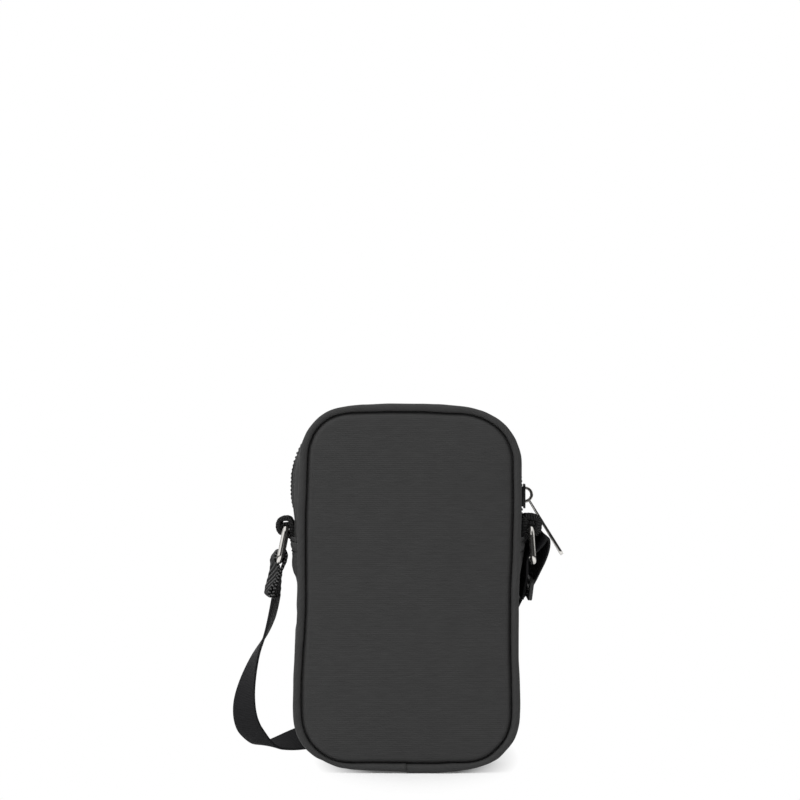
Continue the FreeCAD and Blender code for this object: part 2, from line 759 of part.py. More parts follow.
# Rest of the strap, folded to and fro on its edge behind the pouch
half_length = size("hank_half_length")
hank_pairs = [(-size("hank_entry"), size("hank_first_line"))]
for line in range(HANK_LINES):
    depth = size("hank_first_line") + line * size("hank_spacing")
    if line % 2 == 0 and line < HANK_LINES - 1:
        hank_pairs += [(half_length, depth), (half_length, depth + size("hank_spacing"))]
    elif line < HANK_LINES - 1:
        hank_pairs += [(-half_length, depth), (-half_length, depth + size("hank_spacing"))]
hank_pairs += [(size("hank_exit_side"), depth), (size("hank_exit_side"), size("hank_exit_end"))]
hank_radii = [size("hank_spacing") / 2] * (2 * (HANK_LINES - 1)) + [size("hank_exit_radius")]
face, middle, hank_length = band_face(flat(hank_pairs), hank_radii, strap_half)
shape = face.extrude(vector(0, 0, size("strap_width")))
solid_node("strap_hank", shape)
print("hank turn radius", size("hank_spacing") / 2, "exit radius", size("hank_exit_radius"))
points = middle.discretize(Number=HANK_POINTS)
step = hank_length / (HANK_POINTS - 1)
apart = math.ceil(math.pi * size("hank_spacing") / 2 / step)
least = min((a - b).Length for i, a in enumerate(points) for b in points[i + apart:])
print("hank least gap", round(least - size("strap_thickness"), 3))
section = size("strap_thickness") * size("strap_width")
print("hank volume over section", round(shape.Volume / section, 1), "length", round(hank_length, 1))

# Route of the free runs of the strap: middle point in millimetres, then the direction across the width
LEFT_ROUTE = (
    ((-67.1, 4.9, 76.3), (-0.18, -0.98, 0.09)),
    ((-69.9, 11.0, 67.7), (-0.07, -0.99, 0.10)),
    ((-72.8, 16.0, 61.2), (0.07, -0.99, 0.11)),
    ((-76.5, 21.0, 54.3), (0.24, -0.96, 0.11)),
    ((-79.7, 26.5, 45.8), (0.40, -0.91, 0.11)),
    ((-82.2, 31.0, 37.2), (0.54, -0.83, 0.11)),
    ((-83.6, 35.0, 28.7), (0.66, -0.74, 0.13)),
    ((-83.5, 38.5, 20.5), (0.74, -0.65, 0.18)),
    ((-81.9, 41.5, 14.2), (0.78, -0.58, 0.25)),
    ((-79.2, 44.0, 9.0), (0.78, -0.58, 0.26)),
    ((-75.4, 46.5, 5.6), (0.72, -0.66, 0.21)),
    ((-71.1, 49.0, 4.3), (0.64, -0.76, 0.10)),
    ((-66.1, 51.5, 4.1), (0.56, -0.81, -0.15)),
    ((-60.2, 54.0, 4.9), (0.39, -0.83, -0.39)),
    ((-54.1, 56.0, 6.3), (0.17, -0.71, -0.68)),
)
RIGHT_ROUTE = (
    ((50.0, 74.0, 10.1), (0.00, -0.30, -0.95)),
    ((50.0, 62.0, 22.0), (0.00, -0.55, -0.83)),
    ((50.8, 49.0, 40.0), (-0.10, -0.66, -0.74)),
    ((52.9, 35.6, 59.9), (-0.22, -0.65, -0.72)),
    ((57.2, 23.9, 75.4), (-0.15, -0.72, -0.66)),
)


def strap_run(first, route, last, first_across, last_across, first_way, last_way):
    """Webbing lofted between rectangles along its route; the ends face the given ways."""
    points = [first] + [vector(*point) for point, across in route] + [last]
    acrosses = [first_across] + [vector(*across) for point, across in route] + [last_across]
    length = 0
    wires = []
    for i, point in enumerate(points):
        if i == 0:
            way = first_way
        elif i == len(points) - 1:
            way = last_way
        else:
            way = (points[i + 1] - points[i]).normalize() + (point - points[i - 1]).normalize()
        if i:
            length += (point - points[i - 1]).Length
        way = vector(way.x, way.y, way.z).normalize()
        across = acrosses[i] - way * acrosses[i].dot(way)
        across.normalize()
        out = way.cross(across) * strap_half
        across = across * size("strap_width") / 2
        corners = [point + across + out, point - across + out, point - across - out, point + across - out]
        wires.append(Part.makePolygon(corners + corners[:1]))
    return Part.makeLoft(wires, True, True), length


down = vector(0, 0, -1)
hank_start = vector(-size("hank_entry"), size("hank_first_line"), size("strap_width") / 2)
hank_end = vector(size("hank_exit_side"), size("hank_exit_end"), size("strap_width") / 2)
shape, left_run_length = strap_run(
    left_exit, LEFT_ROUTE, hank_start,
    vector(0, -1, 0), down, left_turn.multVec(down), vector(1, 0, 0),
)
solid_node("strap_left_run", shape)
print("left run volume over section", round(shape.Volume / section, 1))
print("left run length", round(left_run_length, 1))
shape, right_run_length = strap_run(
    hank_end, RIGHT_ROUTE, right_exit,
    down, right_turn.multVec(vector(0, -1, 0)), vector(0, -1, 0), right_turn.multVec(vector(0, 0, 1)),
)
solid_node("strap_right_run", shape)
print("right run volume over section", round(shape.Volume / section, 1))
print("right run length", round(right_run_length, 1))
total = left_loop_length + left_run_length + hank_length + right_run_length + right_loop_length
print("strap length", round(total, 1))

# Checks and files
doc.recompute()
for item in doc.Objects:
    if "Invalid" in item.State or "Error" in item.State:
        raise RuntimeError("broken object " + item.Label)
for node in nodes:
    if node.Shape.isNull() or not node.Shape.isValid():
        raise RuntimeError("broken shape " + node.Label)
    node.Shape.exportStep("parts/" + node.Label + ".step")
    print("%-20s %d solid(s) %10.1f mm3" % (node.Label, len(node.Shape.Solids), node.Shape.Volume))
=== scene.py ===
# %% [markdown]
# # A phone pouch on a shoulder strap
# The pouch is a soft upright case: two padded panels, a cord piping round each, a gusset between them,
# a zip over the top, and a flat strap on two metal rings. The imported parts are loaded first, because they
# fix where everything sits. Each soft piece is then modelled again as cloth over its plain solid.

# %% Opening the frame
import math

import bpy
import numpy as np
from mathutils import Matrix, Vector


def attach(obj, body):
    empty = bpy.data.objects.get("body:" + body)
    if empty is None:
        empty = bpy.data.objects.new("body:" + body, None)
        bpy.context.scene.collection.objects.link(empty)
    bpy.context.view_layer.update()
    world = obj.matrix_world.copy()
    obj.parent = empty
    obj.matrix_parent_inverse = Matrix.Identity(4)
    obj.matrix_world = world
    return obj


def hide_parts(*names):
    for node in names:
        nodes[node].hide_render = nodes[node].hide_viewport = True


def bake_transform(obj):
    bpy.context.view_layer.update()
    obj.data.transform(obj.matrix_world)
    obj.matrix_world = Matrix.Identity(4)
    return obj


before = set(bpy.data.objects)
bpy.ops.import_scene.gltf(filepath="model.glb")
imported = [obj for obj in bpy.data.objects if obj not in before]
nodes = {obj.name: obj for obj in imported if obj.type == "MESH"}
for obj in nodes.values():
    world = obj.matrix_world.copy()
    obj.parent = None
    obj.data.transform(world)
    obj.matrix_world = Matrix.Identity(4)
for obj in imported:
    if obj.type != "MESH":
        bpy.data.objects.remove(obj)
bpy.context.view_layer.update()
scene = bpy.context.scene
MM = 0.001

# %% [markdown]
# ## Camera, floor and light
# The pouch is seen straight on from the height of its top edge, with a long lens, so its sides stay upright.
# A big soft lamp above the front, a smaller one on each side and a pale sky give the even light of a product
# picture. The sky and the floor are white to the camera, but light the cloth only at a plain level. Polished
# metal needs something to mirror, so reflections see a studio: bright screens on the left, on the right and
# overhead, a dim room between them, and a floor that is dark further away.

# %% Camera
CAMERA_PLACE = (-4.14, -1100.03, 181.7)  # millimetres from the middle of the foot
camera_data = bpy.data.cameras.new("camera")
camera_data.lens = 100
camera_data.sensor_width = 36
camera = bpy.data.objects.new("camera", camera_data)
camera.location = [c * MM for c in CAMERA_PLACE]
camera.rotation_euler = (math.radians(90), 0, 0)
scene.collection.objects.link(camera)
scene.camera = camera
scene.view_settings.view_transform = "Standard"
print("camera stands", round(-camera.location.y, 2), "m in front of the pouch")


# %% Sky and lamps
def link(tree, source, target):
    tree.links.new(source, target)


def put(tree, kind, inputs=None, **settings):
    """A new shader node. Each of its inputs gets a plain value or the output of another node."""
    node = tree.nodes.new("ShaderNode" + kind)
    for key, value in settings.items():
        setattr(node, key, value)
    for key, source in (inputs or {}).items():
        if isinstance(source, bpy.types.NodeSocket):
            link(tree, source, node.inputs[key])
        else:
            node.inputs[key].default_value = source
    return node


def maths(tree, operation, *sources):
    return put(tree, "Math", dict(enumerate(sources)), operation=operation).outputs[0]


def seen_ray(tree):
    """The kinds of ray, and a mask of 1 on those that see a thing directly, mirrored or through glass."""
    path = put(tree, "LightPath").outputs
    seen = maths(tree, "MAXIMUM", path["Is Camera Ray"], path["Is Glossy Ray"])
    return path, maths(tree, "MAXIMUM", seen, path["Is Transmission Ray"])


SKY_LIGHT = 0.52  # the sky's level as light on the pouch; where it is seen its level is 1
SCREENS = [  # degrees from the front, to the right, and how bright a reflection sees the room there
    (-180, 0.02), (-172, 0.02), (-166, 1.0), (-126, 1.0), (-120, 0.06), (-104, 0.06), (-96, 1.0), (-14, 1.0),
    (-8, 0.03), (42, 0.03), (50, 0.7), (115, 0.7), (125, 0.04), (150, 0.02), (180, 0.02)]
world = bpy.data.worlds.new("studio")
scene.world = world
world.use_nodes = True
tree = world.node_tree
tree.nodes.clear()
path, clear_ray = seen_ray(tree)
level = put(tree, "MapRange", {"Value": clear_ray, "To Min": SKY_LIGHT, "To Max": 1.0})
facing = put(tree, "SeparateXYZ", {0: put(tree, "TexCoord").outputs["Generated"]}).outputs
bearing = maths(tree, "ARCTAN2", facing["X"], maths(tree, "MULTIPLY", facing["Y"], -1.0))
ramp = put(tree, "ValToRGB", {"Fac": maths(tree, "MULTIPLY_ADD", bearing, 0.5 / math.pi, 0.5)})
stops = ramp.color_ramp.elements
stops[0].position, stops[1].position = 0.0, 1.0
for degrees, bright in SCREENS:
    share = degrees / 360 + 0.5
    stop = stops[0] if share == 0 else stops[-1] if share == 1 else stops.new(share)
    stop.color = (bright, bright, bright, 1)
overhead = put(tree, "MapRange", {"Value": facing["Z"], "From Min": 0.55, "From Max": 0.8})
mirrored = maths(tree, "MAXIMUM", ramp.outputs["Color"], overhead.outputs["Result"])
dimmed = maths(tree, "MULTIPLY", path["Is Glossy Ray"], maths(tree, "SUBTRACT", 1.0, mirrored))
strength = maths(tree, "MULTIPLY", level.outputs["Result"], maths(tree, "SUBTRACT", 1.0, dimmed))
sky = put(tree, "Background", {"Color": (1, 1, 1, 1), "Strength": strength})
put(tree, "OutputWorld", {"Surface": sky.outputs[0]})


def soft_lamp(name, place, aim, size, watts):
    lamp = bpy.data.lights.new(name, "AREA")
    lamp.shape = "DISK"
    lamp.size = size
    lamp.energy = watts
    holder = bpy.data.objects.new(name, lamp)
    holder.location = place
    holder.rotation_euler = (Vector(aim) - Vector(place)).to_track_quat("-Z", "Y").to_euler()
    holder.visible_glossy = False
    scene.collection.objects.link(holder)


soft_lamp("lamp_above", (-0.35, -0.55, 1.15), (0, 0, 0.08), 0.9, 9.0)
soft_lamp("lamp_left", (-1.0, -0.5, 0.45), (0, 0, 0.09), 0.6, 3.0)
soft_lamp("lamp_right", (1.0, -0.35, 0.5), (0, 0, 0.09), 0.5, 2.0)
print("lamps:", len(bpy.data.lights), "and a sky with", len(SCREENS), "steps of brightness round the room")


# %% Helpers for modelling
def fresh():
    """Leave edit mode and let go of everything, so that an operator acts on the next piece alone."""
    if bpy.context.object and bpy.context.object.mode != "OBJECT":
        bpy.ops.object.mode_set(mode="OBJECT")
    bpy.ops.object.select_all(action="DESELECT")


def add_shape(operator, name, **settings):
    """Add a plain shape with an operator and name it."""
    fresh()
    operator(**settings)
    piece = bpy.context.object
    piece.name = piece.data.name = name
    return piece


def hold(piece):
    fresh()
    piece.select_set(True)
    bpy.context.view_layer.objects.active = piece


def press(piece, kind, **values):
    """Add one modifier, set it and apply it."""
    hold(piece)
    modifier = piece.modifiers.new(kind.lower(), kind)
    for key, number in values.items():
        setattr(modifier, key, number)
    bpy.ops.object.modifier_apply(modifier=modifier.name)


def edit(piece, *steps):
    """Run edit-mode operators, each (operator, settings), on the whole piece."""
    hold(piece)
    bpy.ops.object.mode_set(mode="EDIT")
    bpy.ops.mesh.select_all(action="SELECT")
    for operator, settings in steps:
        operator(**settings)
    bpy.ops.object.mode_set(mode="OBJECT")


OUTWARD = (bpy.ops.mesh.normals_make_consistent, {"inside": False})
FLIP = (bpy.ops.mesh.flip_normals, {})


def smooth(piece, angle=None):
    """Shade a piece as smooth, all over or only where its faces meet at less than an angle."""
    hold(piece)
    if angle is None:
        bpy.ops.object.shade_smooth()
    else:
        bpy.ops.object.shade_smooth_by_angle(angle=math.radians(angle))


def wear(piece, material):
    piece.data.materials.clear()
    piece.data.materials.append(material)


def raw_points(piece):
    flat = np.zeros(len(piece.data.vertices) * 3)
    piece.data.vertices.foreach_get("co", flat)
    return flat.reshape(-1, 3)


def points_of(piece):
    """The places of a piece's points, in millimetres."""
    return raw_points(piece) / MM


def box_of(piece):
    points = points_of(piece)
    return np.round(points.min(axis=0), 1), np.round(points.max(axis=0), 1)


def cloth_grid(name, across, along):
    """A unit grid, with the share across and along of each of its points."""
    piece = add_shape(bpy.ops.mesh.primitive_grid_add, name,
                      x_subdivisions=across, y_subdivisions=along, size=1)
    shares = raw_points(piece) + 0.5
    return piece, shares[:, 0], shares[:, 1]


def shape_points(piece, points):
    piece.data.vertices.foreach_set("co", (np.asarray(points) * MM).ravel())
    piece.data.update()


def lay(piece, across_mm, along_mm):
    """Keep each point's place on the flat cloth, in millimetres, for the weave to follow."""
    attribute = piece.data.attributes.new("lay_mm", "FLOAT_VECTOR", "POINT")
    flat = np.stack([across_mm, along_mm, np.zeros(len(across_mm))], axis=1)
    attribute.data.foreach_set("vector", flat.astype(np.float32).ravel())


def laid(piece):
    """Read back the places that lay() kept."""
    flat = np.zeros(len(piece.data.vertices) * 3, np.float32)
    piece.data.attributes["lay_mm"].data.foreach_get("vector", flat)
    return flat.reshape(-1, 3)


def ease(z, table):
    """A reading between the rows (place, number) of a table, rounded off a little at each row."""
    heights = np.array([row[0] for row in table], float)
    numbers = np.array([row[1] for row in table], float)
    z = np.clip(np.asarray(z, float), heights[0], heights[-1])
    i = np.clip(np.searchsorted(heights, z, side="right") - 1, 0, len(heights) - 2)
    t = (z - heights[i]) / (heights[i + 1] - heights[i])
    t = t * t * (3 - 2 * t) * 0.6 + t * 0.4
    return numbers[i] + (numbers[i + 1] - numbers[i]) * t


# %% Floor
def new_material(name):
    material = bpy.data.materials.new(name)
    material.use_nodes = True
    material.node_tree.nodes.clear()
    return material, material.node_tree


PALE = (0.86, 0.86, 0.86, 1)
DIM = (0.06, 0.06, 0.06, 1)  # what reflections see of the floor further away
DIM_FROM, DIM_TO = 0.25, 0.6  # metres from the pouch
LIFT = 0.13  # a little glow where the floor is seen, so that only the shadow is grey
floor = add_shape(bpy.ops.mesh.primitive_plane_add, "floor", size=40, location=(0, 0, 0))
floor_paint, tree = new_material("pale_floor")
path, clear_ray = seen_ray(tree)
place = put(tree, "TexCoord").outputs["Object"]
reach = put(tree, "VectorMath", {0: place}, operation="LENGTH").outputs["Value"]
dim = put(tree, "MapRange", {"Value": reach, "From Min": DIM_FROM, "From Max": DIM_TO}).outputs["Result"]
dim_mirrored = maths(tree, "MULTIPLY", dim, path["Is Glossy Ray"])
paint = put(tree, "Mix", {"Factor": dim_mirrored, "A": PALE, "B": DIM}, data_type="RGBA").outputs["Result"]
matt = put(tree, "BsdfDiffuse", {"Color": paint})
glow = put(tree, "Emission", {"Color": paint, "Strength": maths(tree, "MULTIPLY", clear_ray, LIFT)})
near = put(tree, "AddShader", {0: matt.outputs[0], 1: glow.outputs[0]})
# The shadow is kept within an ellipse under the pouch; further out the camera sees plain white.
shadow = put(tree, "Mapping", {"Vector": place, "Location": (0.004, 0.04, 0.0), "Scale": (0.050, 0.115, 1.0)},
             vector_type="TEXTURE")
away = put(tree, "VectorMath", {0: shadow.outputs[0]}, operation="LENGTH").outputs["Value"]
outside = put(tree, "MapRange", {"Value": away, "From Min": 0.62, "From Max": 1.05}).outputs["Result"]
fade = maths(tree, "MULTIPLY", outside, path["Is Camera Ray"])
white = put(tree, "Emission")
shown = put(tree, "MixShader", {"Fac": fade, 1: near.outputs[0], 2: white.outputs[0]})
put(tree, "OutputMaterial", {"Surface": shown.outputs[0]})
wear(floor, floor_paint)
print("floor laid,", len(tree.nodes), "nodes in its paint")

# %% [markdown]
# ## Finishes
# The shell is a coated cloth with fine level ribs, the strap and tabs are woven webbing, and the metal is
# polished nickel. A weave follows the flat cloth, so it reads the place that each point kept when its
# piece was laid out. Two groups are shared: the ribbed grain of the shell and the slanting weave, which
# also paints highlights on the strand crests and shade in the hollows.


# %% Shared node groups
def new_group(name, inputs, outputs):
    """A shader group. An input with no default takes a place on the cloth, and the others take a number."""
    group = bpy.data.node_groups.new(name, "ShaderNodeTree")
    for label, default in inputs.items():
        kind = "NodeSocketVector" if default is None else "NodeSocketFloat"
        socket = group.interface.new_socket(label, in_out="INPUT", socket_type=kind)
        if default is not None:
            socket.default_value = default
    for label in outputs:
        group.interface.new_socket(label, in_out="OUTPUT", socket_type="NodeSocketFloat")
    return group, group.nodes.new("NodeGroupInput"), group.nodes.new("NodeGroupOutput")


def wave(tree, source, pitch):
    """A wave of 0 to 1 that repeats every pitch."""
    turned = maths(tree, "MULTIPLY", source, maths(tree, "DIVIDE", 2 * math.pi, pitch))
    return maths(tree, "MULTIPLY_ADD", maths(tree, "SINE", turned), 0.5, 0.5)


def varied(tree, mask, amount, base):
    """A base, made greater and smaller by a mask that lies about a half."""
    return maths(tree, "MULTIPLY_ADD", maths(tree, "SUBTRACT", mask, 0.5), amount, base)


ribbed, start, end = new_group(
    "ribbed_grain", {"Lay": None, "Rib Pitch": 1.0, "Yarn Pitch": 0.6, "Unevenness": 0.4},
    ["Height", "Shade"])
place = start.outputs["Lay"]
split = put(ribbed, "SeparateXYZ", {0: place})
drift = put(ribbed, "TexNoise", {"Vector": place, "Scale": 0.07, "Detail": 3.0})
stretch = put(ribbed, "Mapping", {"Vector": place, "Scale": (0.12, 0.9, 1.0)})
slub = put(ribbed, "TexNoise", {"Vector": stretch.outputs[0], "Scale": 1.0, "Detail": 2.0})
ribs = wave(ribbed, split.outputs["Y"], start.outputs["Rib Pitch"])
yarns = wave(ribbed, split.outputs["X"], start.outputs["Yarn Pitch"])
uneven = maths(ribbed, "MULTIPLY", slub.outputs["Fac"], start.outputs["Unevenness"])
crossed = maths(ribbed, "MULTIPLY_ADD", yarns, 0.25, maths(ribbed, "MULTIPLY", ribs, 0.75))
link(ribbed, maths(ribbed, "ADD", crossed, uneven), end.inputs["Height"])
tone = varied(ribbed, drift.outputs["Fac"], 0.16, 1.0)
fine = varied(ribbed, slub.outputs["Fac"], 0.35, tone)
link(ribbed, varied(ribbed, ribs, 0.10, fine), end.inputs["Shade"])

# The slanting weave puts out a height for the bump and a mask that paints highlights on the strand crests and
# shade in the hollows.
twill, start, end = new_group(
    "slanting_weave", {"Lay": None, "Pitch": 1.5, "Slope": 0.35, "Width": 15.0, "Contrast": 0.6},
    ["Height", "Shade"])
place, pitch, strand_shading = start.outputs["Lay"], start.outputs["Pitch"], start.outputs["Contrast"]
split = put(twill, "SeparateXYZ", {0: place})
middle = maths(twill, "MULTIPLY", start.outputs["Width"], 0.5)
from_middle = maths(twill, "ABSOLUTE", maths(twill, "SUBTRACT", split.outputs["X"], middle))
slanted = maths(twill, "MULTIPLY_ADD", split.outputs["X"], start.outputs["Slope"], split.outputs["Y"])
strands = wave(twill, slanted, pitch)
warp = wave(twill, split.outputs["X"], maths(twill, "MULTIPLY", pitch, 0.8))
woven = maths(twill, "MULTIPLY", strands, maths(twill, "MULTIPLY_ADD", warp, 0.3, 0.7))
edge_rib = wave(twill, split.outputs["Y"], maths(twill, "MULTIPLY", pitch, 0.5))
edge = put(twill, "MapRange", {"Value": from_middle, "From Min": maths(twill, "SUBTRACT", middle, 1.2),
                               "From Max": maths(twill, "SUBTRACT", middle, 0.8)})
blend = put(twill, "Mix", {"Factor": edge.outputs["Result"], "A": woven, "B": edge_rib})
link(twill, blend.outputs["Result"], end.inputs["Height"])
# Painted highlight and painted shade: strand crests are made lighter and hollows darker, as strongly as the
# strand shading input asks.
crest = maths(twill, "POWER", blend.outputs["Result"], 2.5)
hollow_shade = maths(twill, "SUBTRACT", 1.0, maths(twill, "MULTIPLY", strand_shading, 0.25))
shade = maths(twill, "MAXIMUM", maths(twill, "MULTIPLY_ADD", crest, strand_shading, hollow_shade), 0.2)
fuzz = put(twill, "TexNoise", {"Vector": place, "Scale": 0.5, "Detail": 4.0})
patchy = maths(twill, "MULTIPLY_ADD", fuzz.outputs["Fac"], 0.5, 0.75)
link(twill, maths(twill, "MULTIPLY", shade, patchy), end.inputs["Shade"])
print("node groups:", [group.name for group in bpy.data.node_groups])


# %% Cloth, webbing, metal and plastic
def new_finish(name, values):
    material, tree = new_material(name)
    surface = put(tree, "BsdfPrincipled", values)
    put(tree, "OutputMaterial", {"Surface": surface.outputs[0]})
    return material, tree, surface


def tint(tree, surface, colour, shade):
    """The written colour, made lighter and darker by a mask that lies about 1."""
    mix = put(tree, "Mix", {"Factor": 1.0, "A": (*colour, 1), "B": shade},
              data_type="RGBA", blend_type="MULTIPLY")
    link(tree, mix.outputs["Result"], surface.inputs["Base Color"])


def raise_grain(tree, surface, height, depth_mm):
    bump = put(tree, "Bump", {"Strength": 1.0, "Distance": depth_mm * MM, "Height": height})
    link(tree, bump.outputs[0], surface.inputs["Normal"])


def flat_place(tree):
    return put(tree, "Attribute", attribute_name="lay_mm").outputs["Vector"]


def shell_finish(name, colour, turn=0, depth=0.05):
    """Coated cloth with level ribs, which a turn lays on the slant."""
    material, tree, surface = new_finish(
        name, {"Roughness": 0.62, "Specular IOR Level": 0.15, "Sheen Weight": 0.03, "Sheen Roughness": 0.5})
    turned = put(tree, "Mapping", {"Vector": flat_place(tree), "Rotation": (0, 0, math.radians(turn))})
    grain = put(tree, "Group", {"Lay": turned.outputs[0], "Rib Pitch": 1.0, "Yarn Pitch": 0.55},
                node_tree=ribbed)
    tint(tree, surface, colour, grain.outputs["Shade"])
    raise_grain(tree, surface, grain.outputs["Height"], depth)
    return material


# Webbing: the weave's mask paints highlights on the strand crests and shade in the hollows.
def woven_finish(name, colour, width, pitch=1.5, depth=0.15, strand_shading=0.6, slope=0.35, shine=0.1):
    material, tree, surface = new_finish(name, {"Roughness": 0.6, "Specular IOR Level": shine})
    grain = put(tree, "Group", {"Lay": flat_place(tree), "Pitch": pitch, "Width": width, "Contrast": strand_shading,
                                "Slope": slope}, node_tree=twill)
    tint(tree, surface, colour, grain.outputs["Shade"])
    raise_grain(tree, surface, grain.outputs["Height"], depth)
    return material


def solid_finish(name, colour, metal, rough, uneven, scale, depth):
    """Metal or plastic: smudges in the gloss and a very fine unevenness."""
    material, tree, surface = new_finish(name, {"Metallic": metal})
    place = put(tree, "TexCoord").outputs["Object"]
    smudge = put(tree, "TexNoise", {"Vector": place, "Scale": scale, "Detail": 5.0}).outputs["Fac"]
    gloss = put(tree, "MapRange", {"Value": smudge, "To Min": max(0.02, rough - uneven),
                                   "To Max": rough + uneven})
    link(tree, gloss.outputs["Result"], surface.inputs["Roughness"])
    tint(tree, surface, colour, maths(tree, "MULTIPLY_ADD", smudge, 0.12, 0.94))
    raise_grain(tree, surface, smudge, depth)
    return material


WEB_WIDTH, WEB_THICK = 15.0, 1.3
TAB_WIDTH = 12.5
TAPE_WIDTH = 8.0
LOOP_STRANDS = {"pitch": 3.4, "slope": 0.6}
shell_cloth = shell_finish("shell_cloth", (0.0355, 0.0355, 0.0355))
gusset_cloth = shell_finish("gusset_cloth", (0.034, 0.034, 0.034))
piping_cloth = shell_finish("piping_cloth", (0.036, 0.036, 0.036), turn=45, depth=0.03)
webbing = woven_finish(
    "strap_webbing", (0.011, 0.011, 0.012), WEB_WIDTH, depth=0.05, strand_shading=0.5, shine=0.12)
# The loop and tab webbing carry strong painted highlights on the strand crests and painted shade in the
# hollows; the loop is also painted lighter than the strap, though both are the same webbing.
loop_webbing = woven_finish(
    "loop_webbing", (0.02, 0.02, 0.02), WEB_WIDTH, depth=0.2, strand_shading=6.0, **LOOP_STRANDS)
tab_webbing = woven_finish("tab_webbing", (0.012, 0.012, 0.012), TAB_WIDTH, depth=0.2, strand_shading=5.0)
zip_tape_cloth = woven_finish("zip_tape_cloth", (0.012, 0.012, 0.012), TAPE_WIDTH, pitch=0.9, depth=0.06)
nickel = solid_finish("polished_nickel", (0.72, 0.70, 0.67), 1.0, 0.07, 0.03, 900.0, 0.002)
tooth_plastic = solid_finish("zip_tooth_plastic", (0.012, 0.012, 0.012), 0.0, 0.38, 0.08, 1500.0, 0.01)
moulded_black = solid_finish("adjuster_plastic", (0.014, 0.014, 0.014), 0.0, 0.42, 0.08, 700.0, 0.01)
enamel = solid_finish("slider_enamel", (0.012, 0.012, 0.012), 0.0, 0.3, 0.08, 900.0, 0.01)
thread = solid_finish("sewing_thread", (0.005, 0.005, 0.005), 0.0, 0.6, 0.1, 3000.0, 0.02)
print("finishes:", len(bpy.data.materials))

# %% [markdown]
# ## Strap
# A strap is one flat web of fixed width. Its middle line is a smooth spline through the points of its route,
# and two more splines carry its edges, so it can turn and twist as webbing does. A grid is laid between the
# edges and given its thickness. The free length that nobody sees is folded to and fro behind the pouch.


# %% Splines and webbing
def spline_line(points, resolution=20):
    curve = bpy.data.curves.new("route", "CURVE")
    curve.dimensions = "3D"
    curve.resolution_u = resolution
    spline = curve.splines.new("NURBS")
    spline.points.add(len(points) - 1)
    for knot, point in zip(spline.points, points):
        knot.co = (*[c * MM for c in point], 1)
    spline.order_u = 3
    spline.use_endpoint_u = True
    holder = bpy.data.objects.new("route", curve)
    line = bpy.data.meshes.new_from_object(holder)
    found = np.array([v.co for v in line.vertices]) / MM
    bpy.data.meshes.remove(line)
    bpy.data.curves.remove(curve)
    return found


def length_along(line):
    return np.concatenate([[0], np.cumsum(np.linalg.norm(np.diff(line, axis=0), axis=1))])


def swing(at, every):
    return 0.5 + 0.5 * np.sin(2 * math.pi * at / every)


def raise_strands(piece, width, relief, pitch, slope):
    """Press the weave into the mesh, and thin the web towards its edges."""
    normals = np.zeros(len(piece.data.vertices) * 3, np.float32)
    piece.data.vertex_normals.foreach_get("vector", normals)
    x, y = laid(piece)[:, 0], laid(piece)[:, 1]
    woven = swing(y + slope * x, pitch) * (0.7 + 0.3 * swing(x, 0.8 * pitch))
    to_edge = np.minimum(x, width - x)
    thinned = 0.3 * np.clip(1 - to_edge / 0.7, 0, 1) ** 2
    amount = relief * (woven - 0.5) * np.clip(to_edge / 0.8, 0, 1) - thinned
    shape_points(piece, points_of(piece) + normals.reshape(-1, 3) * amount[:, None])


def lay_webbing(name, route, finish, width=WEB_WIDTH, thickness=WEB_THICK, step=0.42, columns=36, relief=0.0,
                pitch=1.5, slope=0.35, fold=None):
    """Webbing along a route of (point, way from one edge to the other). Past a fold its weave runs back."""
    points = np.array([point for point, way in route], float)
    ways = np.array([way for point, way in route], float)
    ways /= np.linalg.norm(ways, axis=1)[:, None]
    middle = spline_line(points)
    edges = [spline_line(points + ways * width / 2), spline_line(points - ways * width / 2)]
    along = length_along(middle)
    piece, across, share = cloth_grid(name, columns, max(2, round(along[-1] / step)))
    at = share * along[-1]
    first, second = (np.stack([np.interp(at, along, line[:, k]) for k in range(3)], axis=1) for line in edges)
    shape_points(piece, first * (1 - across)[:, None] + second * across[:, None])
    lay(piece, across * width, at if fold is None else -np.abs(at - fold))
    press(piece, "SOLIDIFY", thickness=thickness * MM, offset=0, use_even_offset=True)
    edit(piece, OUTWARD)
    if relief:
        raise_strands(piece, width, relief, pitch, slope)
    else:
        press(piece, "SUBSURF", levels=1, render_levels=1)
    smooth(piece)
    wear(piece, finish)
    print(name, "is", round(along[-1], 1), "mm long")
    return piece, middle


# %% Free run on the left
LEFT_EXIT = (-65.45, 0.0, 84.62)
left_route = [
    (LEFT_EXIT, (-0.18, -0.98, 0.05)),
    ((-67.1, 4.9, 76.3), (-0.18, -0.98, 0.09)),
    ((-69.9, 11.0, 67.7), (-0.07, -0.99, 0.10)),
    ((-72.8, 16.0, 61.2), (0.07, -0.99, 0.11)),
    ((-76.5, 21.0, 54.3), (0.24, -0.96, 0.11)),
    ((-79.7, 26.5, 45.8), (0.44, -0.89, 0.11)),
    ((-82.2, 31.0, 37.2), (0.62, -0.77, 0.11)),
    ((-83.8, 35.0, 28.7), (0.77, -0.62, 0.13)),
    ((-83.8, 38.5, 20.5), (0.84, -0.51, 0.18)),
    ((-82.2, 41.5, 13.8), (0.84, -0.48, 0.25)),
    ((-79.2, 44.0, 9.2), (0.80, -0.55, 0.24)),
    ((-75.4, 46.5, 4.8), (0.72, -0.67, 0.16)),
    ((-71.1, 49.0, 2.9), (0.64, -0.77, -0.06)),
    ((-66.1, 51.5, 3.5), (0.56, -0.78, -0.26)),
    ((-60.2, 54.0, 4.8), (0.37, -0.76, -0.52)),
    ((-54.1, 56.0, 6.3), (0.17, -0.66, -0.73)),
    ((-46.0, 57.0, 7.5), (0.0, 0.0, -1.0)),
]
left_run, left_line = lay_webbing("left_run_webbing", left_route, webbing, relief=0.04)
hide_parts("strap_left_run")
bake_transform(left_run)

